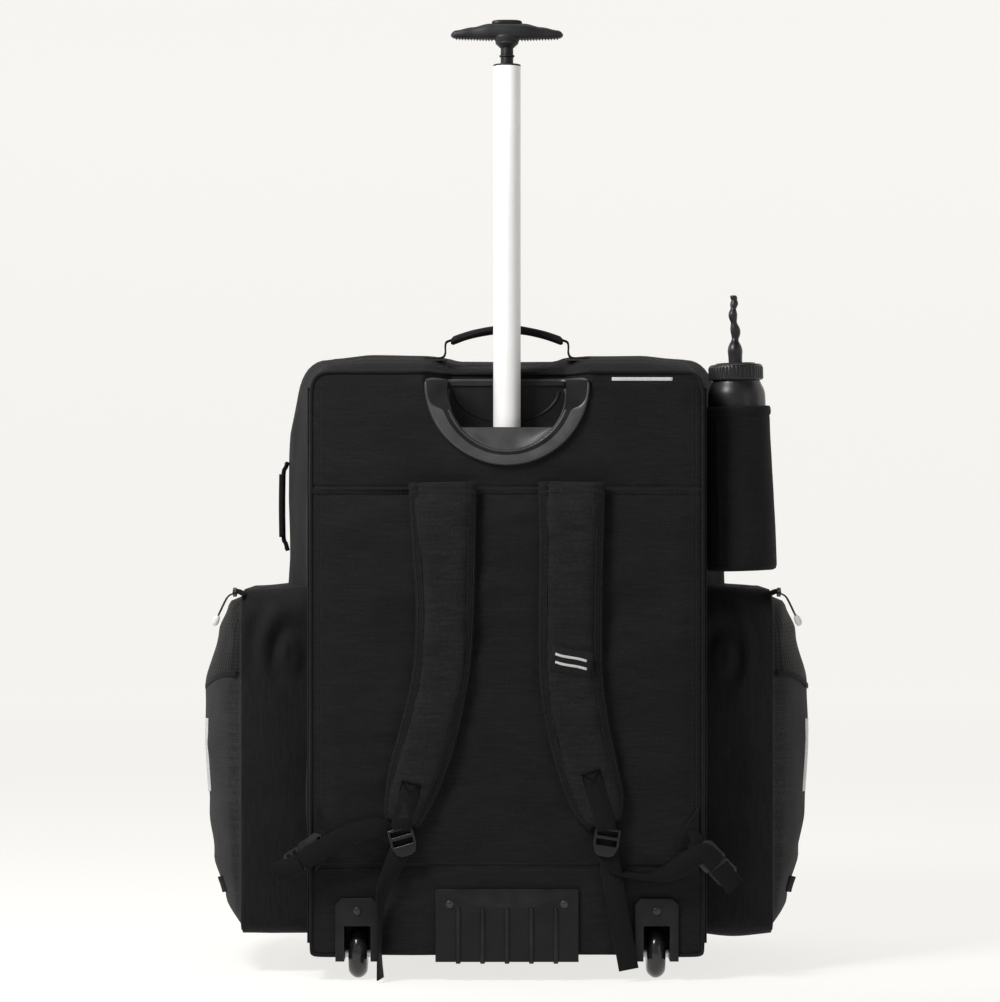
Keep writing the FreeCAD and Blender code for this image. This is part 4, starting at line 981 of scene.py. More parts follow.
def flap_bulge(d, z):
    """How far the outer panel stands out from the piped edge."""
    tall = [(POCKET_LOW, 0.16), (89, 0.5), (142, 0.8), (200, 0.92), (300, 1.02)]
    tall += [(360, 1.0), (431, 0.7), (470, 0.45), (POCKET_HIGH, 0.14)]
    reach = abs(d - POCKET_D) / (POCKET_FRONT - POCKET_D)
    return FLAP_BULGE * along(tall, z) * (1 - reach**2.4) ** 0.75


def flap(side):
    """A skate pocket's bulging outer panel, mesh above and cloth below, with its tape, stripe and tab."""
    hand = SIDES[side]
    turns, rings = 140, 34
    grid = []
    for r in range(rings):
        share = 1 - (r / (rings - 1)) ** 1.15 * 0.985
        ring = []
        for k in range(turns):
            d1, z1 = ring_point(k / turns, 1.0)
            d = POCKET_D + (d1 - POCKET_D) * share
            z = POCKET_Z + (z1 - POCKET_Z) * share
            out = max(flap_bulge(d, z) * smooth((1 - share) / 0.08), 1.0)
            folds = 2.6 * rough(d, 0, z, 74, 30 + hand) + 1.2 * rough(d, 0, z, 34, 31 + hand)
            out += smooth((1 - share) / 0.3) * folds
            ring.append((hand * (POCKET_EDGE + 0.8 + out), d, z))
        grid.append(ring)
    panel = grid_piece(f"pocket_panel_{side}", grid, closed=True, flip=hand > 0)
    cap_ends_inner(panel)
    flat_weave(panel)
    finish_piece(panel, f"flap_{side}", [PALE_CLOTH, NET], "side_cloth", [f"pocket_flap_{side}"])
    for polygon in panel.data.polygons:
        spot = polygon.center
        polygon.material_index = int(spot.z / MM > net_line((spot.y - BACK_Y) / MM))
    thicken(panel, 1.6)

    def on_panel(spots, lift):
        return [(hand * (POCKET_EDGE + lift + max(1.0, flap_bulge(d, z))), d, z) for d, z in spots]

    body = f"flap_{side}"
    seam = on_panel([(d, net_line(d)) for d in np.linspace(POCKET_BACK + 3, POCKET_FRONT - 3, 24)], 1.6)
    sewn(f"net_tape_{side}", body, seam, 7, 1.0, [(hand, 0, 0)] * 24, 3, TAPE, "pack_cloth")
    stripe = on_panel([(127, z) for z in np.linspace(226, 320, 12)], 2.6)
    sewn(f"stripe_{side}", body, stripe, 9, 0.8, [(hand * 0.86, -0.5, 0)] * 12, 4, STRIPE, "pack_cloth")
    tab = on_panel([(112, z) for z in (118, 108, 98)], 3)
    sewn(f"flap_tab_{side}", body, tab, 14, 2.2, [(hand * 0.8, -0.6, 0)] * 3, 6)


def net_line(d):
    """Height of the seam between the mesh above and the cloth below."""
    return 381 - 22 * smooth((d - POCKET_BACK) / 110) + 8 * smooth((d - 220) / 100)


def cap_ends_inner(piece):
    """Closes the small hole at the middle of a ringed panel."""
    with opened(piece) as edit:
        open_edges = [e for e in edit.edges if e.is_boundary]
        low = min(e.calc_length() for e in open_edges)
        small = [e for e in open_edges if e.calc_length() < min(low * 6, MM)]
        bmesh.ops.holes_fill(edit, edges=small, sides=0)


def zip_pull(side):
    """The pocket zip's slider, and its moulded pull: two strands that meet in a pale tip."""
    hand = SIDES[side]
    x, d, z = POCKET_EDGE + 10, POCKET_BACK + 15, POCKET_HIGH - 1
    body = [(-5, 0), (5, 0), (6.5, 4), (4, 12), (-4, 12), (-6.5, 4)]
    vertices, faces = [], []
    for high in (-2.5, 2.5):
        vertices += [place(hand * (x + high), d + b - 5, z + a * 0.9) for a, b in body]
    count = len(body)
    faces += [list(range(count))[::-1], list(range(count, 2 * count))]
    faces += [[k, (k + 1) % count, count + (k + 1) % count, count + k] for k in range(count)]
    slider = new_piece(f"zip_slider_body_{side}", vertices, faces)
    cap_ends(slider)
    bevelled(slider, 0.8)
    finish_piece(slider, f"slider_{side}", DARK_STEEL, "steel", [f"pocket_zip_slider_{side}"])
    garage = [(hand * (x - 13), d, z - 3), (hand * (x - 4), d, z + 1), (hand * (x + 3), d, z + 1)]
    sewn(f"zip_garage_{side}", "bag", garage, 13, 1.4, [(0, -0.4, 1)] * 3, 5)
    course = ((2, 0, -2), (8, 2, -3), (14, 3.5, -14), (19, 3, -25), (22, 1, -31))
    for letter, apart in (("a", -1), ("b", 1)):
        route = [(hand * (x + out), d + apart * aside, z + drop) for out, aside, drop in course]
        strand = tube(f"zip_strand_{side}_{letter}", route, 1.1)
        finish_piece(strand, f"slider_{side}", MOULDING_MATT, "moulding")
    axis = Vector((hand * 0.42, 0, -1)).normalized()
    profile = [(0.2, 0), (2.6, 0.6), (3.8, 3), (4.6, 7), (4.4, 11), (3.2, 14), (0.2, 15)]
    tip = lathe(f"zip_tip_{side}", profile, (hand * (x + 21.4), d, z - 29), axis, 24)
    subdivide(tip)
    finish_piece(tip, f"slider_{side}", PULL_TIP, "moulding")


# --- Shoulder straps ---------------------------------------------------------------------------

# Each strap's middle line from its sewn top to its tip: x outwards, height and width.
STRAP_LINES = {
    "left": [
        (80, 624, 86), (78, 532, 79), (77, 470, 74), (80, 403, 72), (88, 352, 72),
        (101, 300, 73), (115, 254, 69), (126, 217, 56), (131, 199, 42),
    ],
    "right": [
        (81, 624, 84), (80.5, 532, 80), (79.5, 470, 80), (80, 385, 80),
        (87.5, 326, 79), (100, 270, 76), (113, 226, 68), (121.5, 198, 44),
    ],
}
STRAP_WEB = 25  # width of the straps' webbing
# Heights at which each strap has creased across.
STRAP_CREASES = {"left": (571, 523, 474, 402, 330), "right": (556, 521, 431, 372, 312)}


def strap_line(side):
    points = catmull(np.array(STRAP_LINES[side], dtype=float), 12)
    heading = np.gradient(points[:, :2], axis=0)
    heading /= np.linalg.norm(heading, axis=1, keepdims=True)
    return points, heading


def strap_front(share, along_share):
    """Depth of the pad's outer face, across (share -1 to 1) and along it."""
    crown = 13.5 * (1 - abs(share) ** 5)
    root = smooth(along_share / 0.05)
    tip = smooth((1 - along_share) / 0.06)
    return -5.2 - (2.5 + crown * 0.9 * (0.35 + 0.65 * root) * (0.5 + 0.5 * tip))


def shoulder_strap(side):
    """A padded shoulder strap: the puffed pad, its bound edges, stitching and sewn webbing patch."""
    hand = SIDES[side]
    body = f"strap_{side}"
    points, heading = strap_line(side)
    last = len(points) - 1
    across = np.linspace(-1, 1, 23)
    grid = []
    for index, ((x, z, width), (hx, hz)) in enumerate(zip(points, heading)):
        ring = []
        half = width / 2 - 2.5
        for share in across:
            wave = 1.7 * rough(share * 30, 5, z * 1.7, 34, 40 + hand)
            wave += rough(share * 12, 2, z * 2.4, 17, 44 + hand)
            for crease in STRAP_CREASES[side]:
                wave += 2.2 * bell((z - crease - share * 4) / 3.2) * smooth((share * hand + 1.3) / 1.2)
            depth = strap_front(share * 0.97, index / last) + wave * (1 - share**4)
            ring.append((hand * (x - hz * share * half), depth, z + hx * share * half))
        back = [(p[0], -5.6 + 0.4 * abs(s), p[2]) for p, s in zip(ring, across)]
        grid.append(ring + back[::-1])
    pad = grid_piece(f"strap_pad_{side}", grid, closed=True)
    cap_ends(pad)
    puffed(pad)
    finish_piece(pad, body, PAD_CLOTH, "pad_cloth", [f"shoulder_pad_{side}"], padded=0.7)

    def along_edge(edge, inset, indices, lift):
        """Points along one edge of the pad, inset in from it and lifted off its face."""
        run = []
        for index in indices:
            x, z, width = points[index]
            hx, hz = heading[index] * edge * (width / 2 - inset)
            run.append((hand * (x - hz), strap_front(0.86, index / last) - lift, z + hx))
        return run

    stations = range(0, last + 1, 4)
    for name, edge in (("in", -1), ("out", 1)):
        lean = 0.35 * edge
        normals = [(hand * -heading[k][1] * lean, -1, heading[k][0] * lean) for k in stations]
        route = along_edge(edge, 5.6, stations, 0.6)
        sewn(f"strap_binding_{side}_{name}", body, route, 11.5, 1.4, normals, 5, TAPE, "pad_cloth")
    runs = []
    for edge in (-1, 1):
        for inset in (2.6, 9.6):
            runs.append(along_edge(edge, inset, range(2, last - 1, 2), 1.6 + (inset - 2.6) * 0.22))
    x0, z0, _ = points[0]
    for drop in (5, 12):
        depth = strap_front(0, drop / 430) - 1
        runs.append([(hand * (x0 + aside), depth, z0 - drop) for aside in np.linspace(-36, 36, 12)])
    stitched(f"strap_stitches_{side}", runs, body, step=4.4, slot="pad_cloth")
    strap_patch(side, points)


def strap_patch(side, points):
    """The square of webbing sewn with a cross at the strap's foot, and its run down to the ladder lock."""
    hand = SIDES[side]
    body = f"strap_{side}"
    lock = centre_of(f"ladder_lock_{side}")
    x, z, _ = points[-22]
    start = np.array((hand * x, -21.4, z + 8))
    foot = np.array((hand * points[-1][0], -20.2, points[-1][1] + 3))
    middle = (start + foot) / 2 + (0, -1.2, 0)
    over_bar = (lock[0] - hand * 2, -18.4, lock[2] + 16)
    tucked = (lock[0] - hand * 1.6, -12.4, lock[2] + 11)
    behind = (lock[0], -11.2, lock[2] - 8)
    route = [tuple(start), tuple(middle), tuple(foot), over_bar, tucked, behind]
    sewn(f"strap_web_{side}", body, route, STRAP_WEB, 1.6, None, 10)
    ahead = (foot - start) / np.linalg.norm(foot - start)
    sidewards = np.cross(ahead, (0, -1, 0))
    sidewards /= np.linalg.norm(sidewards)
    centre = start + ahead * 15 + np.array((0, -1.5, 0))
    size = 11.5
    corner = [centre + (ahead * a + sidewards * b) * size for a, b in ((-1, -1), (-1, 1), (1, 1), (1, -1))]
    runs = [(corner[a], corner[b]) for a, b in ((0, 1), (1, 2), (2, 3), (3, 0), (0, 2), (1, 3))]
    # The cross is sewn in the near-black thread, whose darkness is painted shade of the sunk stitch lines.
    stitched(f"strap_cross_{side}", runs, body, step=2.6, length=2.5, width=1.3, material=THREAD_PAINTED_SHADE)


def lower_webbing(side):
    """The webbing from the ladder lock to the corner buckle, its folded end, and the free tail."""
    hand = SIDES[side]
    lx, _, lz = centre_of(f"ladder_lock_{side}")
    cx, _, cz = centre_of(f"buckle_clip_{side}")

    def from_lock(*steps):
        return [(lx + x, d, lz + z) for x, d, z in steps]

    def from_clip(*steps):
        return [(cx + x, d, cz + z) for x, d, z in steps]

    if side == "left":
        route = from_lock((2, -10.6, -1), (-12, -11, 8), (-27, -16, 16), (-46, -21, 15), (-70, -24, 6))
        route += from_clip((34, -25.5, 16), (12, -25, 3), (-1, -22, -5))
        normals = [(0, -1, 0.1), (0.1, -1, 0.3), (0.1, -1, 0.4), (0, -1, 0.3), (0, -1, 0.1)]
        tail = from_lock((0, -11, -6), (-6, -12.5, -22), (-14, -17, -40), (-24, -19, -66))
        tail += [(-158, -16, 84), (-158.5, -13, 56), (-159, -11, 30), (-158, -10, 4)]
        tail_normals = [(0, -1, 0), (0.15, -1, 0.1), (0.5, -0.85, 0), (0.8, -0.55, 0)]
        tail_normals += [(0.96, -0.25, 0), (0.985, -0.17, 0), (0.985, -0.17, 0), (0.96, -0.28, 0)]
        fold = from_clip((-3, -21.5, -6.5), (-14, -19.5, -12.5), (-25, -18, -17), (-33, -18, -20))
    else:
        route = from_lock((0, -9.6, -14), (12, -8.6, -34), (30, -8.6, -42), (54, -10.6, -44))
        route += from_lock((82, -15, -36), (102, -22, -22)) + from_clip((-18, -25, 17), (-1, -23.5, 3))
        normals = [(0, -1, 0.5), (0, -0.5, 1), (0, -0.2, 1), (0, -0.3, 1), (0, -0.9, 0.5)]
        tail = from_lock((0, -11, -6), (4, -12.5, -28), (9, -16, -60), (17, -14, -105))
        tail += from_lock((23, -12, -138), (27, -11, -160))
        tail_normals = [(0, -1, 0), (0, -1, 0.05), (0.05, -1, 0)]
        tail_normals += [(0.1, -1, 0), (0.05, -1, 0), (0.05, -1, 0.1)]
        fold = from_clip((2, -22.5, -1), (9, -20, -10), (16, -18.5, -19), (22, -18, -26))
    normals += [(0, -1, 0)] * 3
    replaced = [f"strap_webbing_{side}"]
    run = sewn(f"strap_run_{side}", None, route, STRAP_WEB, 1.8, normals, 12, replaces=replaced)
    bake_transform(run)
    sewn(f"strap_tail_{side}", f"strap_{side}", tail, STRAP_WEB, 1.8, tail_normals, 12)
    sewn(f"strap_fold_{side}", "bag", fold, STRAP_WEB, 3.6)
    sx, _, sz = centre_of(f"buckle_socket_{side}")
    tie = [(hand * 226, -3.4, 176), (hand * 232, -7, 178)]
    tie += [(sx - hand * 14, -13, sz + 13), (sx - hand * 10, -16, sz + 8)]
    sewn(f"corner_tie_{side}", "bag", tie, 22, 1.8)


def corner_tab(side):
    """The triangle of cloth that ties the buckle into the bag's corner."""
    hand = SIDES[side]
    rows = []
    for share in np.linspace(0, 1, 12):
        row = []
        x, low, high = 240 - 27 * share, 136 + 32 * share, 219 - 38 * share
        for t in np.linspace(0, 1, 10):
            z = low + (high - low) * t
            row.append((hand * x, min(-2.4, back_depth(x, z) - 1.8) - 0.6 * math.sin(math.pi * t), z))
        rows.append(row)
    tab = grid_piece(f"corner_cloth_{side}", rows, flip=hand < 0)
    thicken(tab, 1.6)
    finish_piece(tab, "bag", CLOTH, "pack_cloth", ["corner_tabs"] if hand < 0 else ())
    d = -4.6
    edge = [[(hand * 237, d, 214), (hand * 214, d, 180)], [(hand * 214, d, 170), (hand * 237, d, 141)]]
    stitched(f"corner_stitches_{side}", edge, "bag", step=3.6, length=2.8)


def strap_label():
    """A plain woven label on the right strap, with two light bars."""
    route = [(54, -22.3, 405), (70, -23.0, 402), (88, -23.0, 399), (105, -22.3, 396)]
    sewn("strap_label", "strap_right", route, 30, 0.9, material=LABEL, slot="pad_cloth")
    for index, shift in enumerate((-5, 5)):
        bar = [(x + inset, d - 0.7, z + shift) for inset, (x, d, z) in zip((6, 0, 0, -6), route)]
        sewn(f"label_bar_{index}", "strap_right", bar, 3.2, 0.5, material=STRIPE, slot="pack_cloth")


def corner_stripe():
    """A plain reflective strip at the upper right of the back panel."""
    route = [(x, back_depth(x, 752) - 0.9, 752.5) for x in np.linspace(131, 207, 8)]
    sewn("reflective_strip", "bag", route, 4.5, 0.6, None, 4, STRIPE, "pack_cloth")


# --- Handles -----------------------------------------------------------------------------------


def grab_handle():
    """The padded grip and the webbing legs that run up into it from its tabs."""
    half = laid_out("top_handle_grip")[1][0]
    d = centre_of("top_handle_grip")[1]

    def height(u):
        return 818.4 - 15.5 * abs(u) ** 1.9

    rows = []
    for u in np.linspace(-1, 1, 46):
        x, z = u * (half - 1), height(u)
        pinch = smooth((1 - abs(u)) / 0.04)
        wide, thick = 13.5 * (0.82 + 0.18 * pinch), 5.4 * (0.55 + 0.45 * pinch)
        ring = []
        for c, s in circle(20):
            soft = 0.5 * rough(x, d + 10 * c, s * 5, 16, 60)
            ring.append((x, d + (wide + soft) * squared(c, 0.75), z + (thick + soft) * squared(s, 0.8)))
        rows.append(ring)
    grip = grid_piece("grab_grip", rows, closed=True)
    cap_ends(grip)
    finish_piece(grip, "grab_handle", CLOTH_FREE, "pack_cloth", ["top_handle_grip"], padded=0.8)
    seam = [[(u * (half - 4), d - 14.4, height(u)) for u in np.linspace(-1, 1, 30)]]
    stitched("grab_stitches", seam, "grab_handle", step=3.8, length=3)
    # Each leg's course from its tab up into the grip, and which way its face looks there.
    course = [(105, 781.2), (92, 781.6), (82, 782.6), (78.4, 788)]
    course += [(78.4, 796), (77, 802), (70, 805), (58, 809)]
    facing = [(0, 1), (0, 1), (0.4, 0.9), (1, 0.2), (1, 0), (0.9, 0.4), (0.3, 1), (0.25, 1)]
    for side, hand in SIDES.items():
        route = [(hand * x, d, z) for x, z in course]
        normals = [(hand * x, 0, z) for x, z in facing]
        replaced = ["top_handle_strap"] if side == "left" else ()
        leg = sewn(f"grab_leg_{side}", None, route, 25, 2, normals, replaces=replaced)
        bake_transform(leg)


def side_grab():
    """The webbing handle on the left side, sewn down at both ends."""
    (_, _, z0), (_, _, z1) = laid_out("side_handle")
    _, d, middle = centre_of("side_handle")
    face = -side_face(d, 600)
    route = [(face - 3, d, z0 - 6), (face - 5.5, d, z0 + 3), (face - 8.5, d, z0 + 12), (face - 9, d, middle)]
    route += [(face - 8.5, d, z1 - 10), (face - 5.5, d, z1 - 1), (face - 3, d, z1 + 6)]
    sewn("side_grab", "bag", route, 36, 3.4, [(-1, 0, 0)] * 7, 10, replaces=["side_handle"])
    route = [(x - 1.5, d, z) for x, _, z in route[2:5]]
    sewn("side_grab_sleeve", "bag", route, 40, 6, [(-1, 0, 0)] * 3, 12, TAPE, padded=0.6)
    runs = [[(face - 6.4, d - 15, z), (face - 6.4, d + 15, z)] for z in (z0 - 3, z1 + 4)]
    stitched("side_grab_stitches", runs, "bag", normal=(-1, 0, 0), step=3.4, length=2.8)


GRIP_UNDER = [(0, 0), (0.3, 0.6), (0.7, 1.4), (1, 2.2)]  # height of the grip's underside, out along a wing
GRIP_DEEP = [(0, 14.6), (0.3, 13.8), (0.7, 10.5), (1, 8.2)]  # its half depth


def pull_grip():
    """The T-grip: a bar that swells to its middle, with moulded ribs along the underside of each wing."""
    rows = []
    low = GRIP_LOW + 2.4
    for u in np.linspace(-1, 1, 61):
        x = u * GRIP_HALF
        end = math.sqrt(max(0.0, 1 - ((abs(u) - 0.93) / 0.07) ** 2)) if abs(u) > 0.93 else 1.0
        top = along([(0, 21.2), (0.3, 20.6), (0.62, 16), (0.9, 12.2), (1, 10)], abs(u))
        under = along(GRIP_UNDER, abs(u))
        deep = along(GRIP_DEEP, abs(u)) * (0.25 + 0.75 * end)
        middle, tall = low + (top + under) / 2, (top - under) / 2 * (0.2 + 0.8 * end)
        ring = []
        for c, s in circle(28):
            round_off = 0.72 if s > 0 else 0.55
            ring.append((x, POLE_D + deep * squared(c, 0.85), middle + tall * squared(s, round_off)))
        rows.append(ring)
    bar = grid_piece("pull_grip_bar", rows, closed=True)
    cap_ends(bar)
    subdivide(bar)
    finish_piece(bar, "pole", GRIP, "moulding", ["grip_body"])
    for side, hand in SIDES.items():
        for step in range(13):
            x = hand * (19 + 3.7 * step)
            under = low + along(GRIP_UNDER, abs(x) / GRIP_HALF)
            deep = along(GRIP_DEEP, abs(x) / GRIP_HALF) * 0.86
            course = ((-1, 3.6), (-0.7, -0.2), (0, -0.9), (0.7, -0.2), (1, 3.6))
            route = [(x, POLE_D + deep * share, under + up) for share, up in course]
            rib = tube(f"grip_rib_{side[0]}{step:02d}", route, 0.95)
            finish_piece(rib, "pole", GRIP, "moulding")
    boss = [(8.2, 0), (14.8, 4), (17, 8.5), (18.5, 13), (15, 16), (2, 16.5)]

    def flattened(radius, height, turn):
        return -0.16 * radius * math.sin(turn) ** 2

    collar = lathe("pull_grip_boss", boss, (0, POLE_D, GRIP_LOW - 6), steps=56, warp=flattened)
    subdivide(collar)
    finish_piece(collar, "pole", GRIP, "moulding")
    plan = [(19.4 * squared(c, 0.7), 9.6 * squared(s, 0.8)) for c, s in circle(48)]
    top = laid_out("release_button")[1][2]
    dome = ((1.0, 9), (1.0, 3.2), (0.97, 1.6), (0.9, 0.6), (0.7, 0.1), (0.3, 0), (0.02, 0))
    rows = [[(x * shrink, POLE_D + d * shrink, top - down) for x, d in plan] for shrink, down in dome]
    button = grid_piece("release_button_cap", rows, closed=True)
    cap_ends(button)
    subdivide(button)
    finish_piece(button, "button", MOULDING, "moulding", ["release_button"])


# --- Wheels and hard parts ---------------------------------------------------------------------


def wheel(side):
    """A cast tyre with a rounded tread on its dished hub, and the hub's spokes."""
    centre = (SIDES[side] * WHEEL_X, WHEEL_D, WHEEL_R)
    half = 12
    profile = [(20.2, 1.2 - half), (21.4, 0.4 - half), (23.4, 0.2 - half), (26, 1.6 - half)]
    profile += [(28.7, 4 - half), (30.8, 7 - half), (31.8, 9.6 - half), (32, 0)]
    profile += [(r, -h) for r, h in reversed(profile[:-1])]
    tyre = lathe(f"tyre_cast_{side}", profile, centre, (1, 0, 0), 96)
    subdivide(tyre)
    finish_piece(tyre, f"wheel_{side}", TYRE, "tyre_rubber", [f"tyre_{side}"])
    dish = [(11.2, -9.8), (14.2, -9.8), (14.8, -5), (17, -4), (18.4, -8.8), (20, -9.4)]
    dish += [(r, -h) for r, h in reversed(dish)]
    hub = lathe(f"hub_core_{side}", dish, centre, (1, 0, 0), 72)
    finish_piece(hub, f"wheel_{side}", HUB, "hub_plastic", [f"hub_{side}"])
    for step, (c, s) in enumerate(circle(6)):
        ends = [(centre[0], WHEEL_D + reach * c, WHEEL_R + reach * s) for reach in (13.5, 19)]
        name = f"hub_spoke_{side}_{step}"
        sewn(name, f"wheel_{side}", ends, 15, 3, [(0, -s, c)] * 2, 3, HUB, "hub_plastic")


def bottle_point(height):
    """A point on the bottle's leaning axis."""
    return (299 + BOTTLE_AXIS[0] * height, 70, 512 + BOTTLE_AXIS[2] * height)


def bottle():
    """The squeeze bottle, its ribbed cap and its twisted straw."""
    base_point = bottle_point(0)
    wide = 36.8
    shell = [(2, 3), (33, 3), (wide - 0.8, 4.6), (wide, 8), (wide, 216), (wide - 0.3, 224), (wide - 1.8, 230)]
    shell += [(wide - 4.5, 235.5), (30.4, 239.5), (29.8, 243), (29.8, 257)]
    piece = lathe("bottle_shell", shell, base_point, BOTTLE_AXIS, 96)
    subdivide(piece)
    finish_piece(piece, "bottle", BOTTLE, "bottle_plastic", ["bottle_body"])

    def knurl(radius, height, turn):
        if radius < 33 or not 243.5 < height < 257.5:
            return 0.0
        return 0.75 * (1 if math.sin(turn * 44) > 0 else -0.4)

    profile = [(30.6, 241.6), (33.2, 241.6), (34.1, 242.4), (34.1, 244), (34.1, 250), (34.1, 257)]
    profile += [(34.1, 258.6), (33, 260.6), (31, 261.6), (26, 261.8)]
    profile += [(24.6, 263.4), (9.6, 263.8), (9.2, 262), (9.2, 258)]
    cap = lathe("bottle_cap_ribbed", profile, base_point, BOTTLE_AXIS, 352, knurl)
    finish_piece(cap, "bottle_cap", CAP, "cap_plastic", ["bottle_cap"])

    straw = [(3, 12), (3, 255), (8.8, 256), (8.8, 274), (9.6, 277), (9.4, 282), (7.6, 287), (5, 291)]
    straw += [(4.2, 294), (5.4, 298), (6.6, 303), (6.4, 308), (4.6, 312.5), (3.7, 315.5), (4.9, 319)]
    straw += [(5.9, 323.5), (5.4, 328), (3.9, 331), (3.5, 333.5), (4.9, 336.5), (5.4, 339.5)]
    straw += [(4.2, 342.4), (3.6, 344), (4.5, 345.4)]
    straw += [(4.5, 348.6), (3.9, 349.6), (1, 349.8)]
    rows = []
    for radius, height in straw:
        x, d, z = bottle_point(height)
        wobble = 1.6 * math.sin((height - 290) / 7.2)
        wobble *= smooth((height - 288) / 10) * smooth((350 - height) / 10)
        rows.append([(x + wobble + radius * c, d + 0.8 * wobble + radius * s, z) for c, s in circle(40)])
    piece = grid_piece("bottle_straw_twisted", rows, closed=True)
    cap_ends(piece)
    subdivide(piece)
    finish_piece(piece, "bottle", CAP, "cap_plastic", ["bottle_straw"])


def sleeve():
    """The cloth sleeve that holds the bottle, with a rolled hem."""

    def soft(radius, height, turn):
        if radius < 30:
            return 0.0
        return rough(math.cos(turn) * 40, math.sin(turn) * 40, height, 46, 70) * smooth((200 - height) / 30)

    section = [(2, -0.6), (30, -0.6), (40, -0.2), (43.6, 1.6), (44.8, 6)]
    section += [(44.8 - 3.4 * t / 12, 6 + 186 * t / 12) for t in range(1, 13)]
    section += [(41.0, 196), (42.6, 197.6), (43.0, 201), (42.8, 205), (41.6, 208), (40.0, 207.6)]
    section += [(39.4, 204), (39.2, 196), (40.4, 120), (42.2, 8), (38, 2.2), (2, 2)]
    piece = lathe("bottle_sleeve_cloth", section, bottle_point(0), BOTTLE_AXIS, 96, soft)
    finish_piece(piece, "bag", SLEEVE_CLOTH, "pack_cloth", ["bottle_sleeve"])
    x0, _, z0 = bottle_point(10)
    x1, _, z1 = bottle_point(192)
    ends = [(x0 - 30, 70 - 33.6, z0), (x1 - 28, 70 - 30.6, z1)]
    sewn("sleeve_seam", "bag", ends, 6, 1.0, [(-0.6, -0.75, 0)] * 2, 12, TAPE, "pack_cloth")


DEE_Z = 712  # height of the middle of the handle recess


def dee_distance(x, z, centre_z, radius, top, corner):
    """How far a point lies outside a disc cut off level at its top, with rounded corners there."""
    disc = math.hypot(x, z - centre_z) - radius + corner
    cap = z - top + corner
    return math.hypot(max(disc, 0), max(cap, 0)) + min(max(disc, cap), 0) - corner


def dee_point(turn, shape):
    """Where a ray from the middle of the handle recess meets a D-shaped outline."""
    low, high = 0.0, 200.0
    for _ in range(30):
        reach = (low + high) / 2
        if dee_distance(reach * math.cos(turn), DEE_Z + reach * math.sin(turn), *shape) < 0:
            low = reach
        else:
            high = reach
    return low * math.cos(turn), DEE_Z + low * math.sin(turn)


def scoop_bezel():
    """The dished rim of the handle recess, its inner lip, and the curved face below the shelf."""
    outer = (SCOOP_Z, SCOOP_R + 0.6, 755, 9)
    inner = (739, 74.4, 743.5, 10)
    section = [(-0.01, 0.4), (0, -3.4), (0.02, -6.2), (0.06, -7.9), (0.12, -8.6), (0.2, -8.7), (0.5, -7.7)]
    section += [(0.78, -6.3), (0.84, -6.9), (0.9, -7.5), (0.96, -6.9)]
    section += [(1, -5), (1.012, -1), (1.03, 6), (1.03, 11)]
    rows = []
    for share, depth in section:
        ring = []
        for turn in np.linspace(0, 2 * math.pi, 180, endpoint=False):
            x0, z0 = dee_point(turn, outer)
            x1, z1 = dee_point(turn, inner)
            x, z = x0 + (x1 - x0) * share, z0 + (z1 - z0) * share
            back = 65 * smooth((SCOOP_R - abs(x)) / 31) * smooth((z - 714) / 34)
            ring.append((x, depth + back, z))
        rows.append(ring)
    rim = grid_piece("scoop_rim", rows, closed=True, flip=True)
    subdivide(rim)
    # The rim and the crescent face below are in the lightened moulding, whose light base colour is painted
    # highlight.
    finish_piece(rim, "bag", BEZEL_PAINTED_LIGHT, "moulding")
    rows = []
    for rise in np.linspace(0, 1, 14):
        row = []
        for x in np.linspace(-58, 58, 50):
            foot = 739 - math.sqrt(75**2 - x * x)
            row.append((x, -3 + 7.6 * (1 - (1 - rise) ** 2.4), foot + (692.2 - foot) * rise))
        rows.append(row)
    face = grid_piece("scoop_crescent", rows)
    finish_piece(face, "bag", BEZEL_PAINTED_LIGHT, "moulding")
    rows = []
    for rise, depth in ((0, 53.4), (0.06, 51.4), (0.5, 50.4), (0.94, 51.4), (1, 53.4)):
        reach = 71 - 9 * rise
        turns = np.linspace(math.pi * 1.02, math.pi * 1.98, 50)
        rows.append([(reach * math.cos(a), depth, 741 + reach * math.sin(a) * 0.62) for a in turns])
    lip = grid_piece("scoop_inner_lip", rows, flip=True)
    finish_piece(lip, "bag", MOULDING, "moulding")


# The finish of each CAD part that shows as it is, and how much its edges are softened, in millimetres.
HARD_FINISH = {
    "handle_scoop": (MOULDING, 0.9),
    "outer_tube": (INNER_METAL, 0),
    "tube_base_socket": (MOULDING_MATT, 0.8),
    "tube_guide_bush": (MOULDING_MATT, 0.4),
    "pole_tube": (POLE, 0),
    "pole_foot_bush": (MOULDING_MATT, 0.3),
    "grip_neck": (MOULDING, 0.4),
    "release_rod": (INNER_METAL, 0),
    "lock_pin": (STEEL, 0),
    "button_spring": (STEEL, 0),
    "lock_spring": (STEEL, 0),
    "wheel_axles": (STEEL, 0.3),
    "kick_plate": (MOULDING, 0.7),
    "rivets": (RIVET, 0),
    "front_feet": (MOULDING_MATT, 2),
    "top_handle_tabs": (MOULDING_MATT, 0.6),
    "door_zip_slider": (DARK_STEEL, 0.5),
    "back_board": (BOARD, 0),
    "base_board": (BOARD, 0),
}
PAIRED_FINISH = {
    "wheel_housing": (MOULDING, 0.7),
    "bearings": (STEEL, 0.3),
    "ladder_lock": (BUCKLE, 0.6),
    "buckle_socket": (BUCKLE, 0.8),
    "buckle_clip": (BUCKLE, 0.6),
}
HARD_FINISH.update({f"{name}_{side}": finish for side in SIDES for name, finish in PAIRED_FINISH.items()})


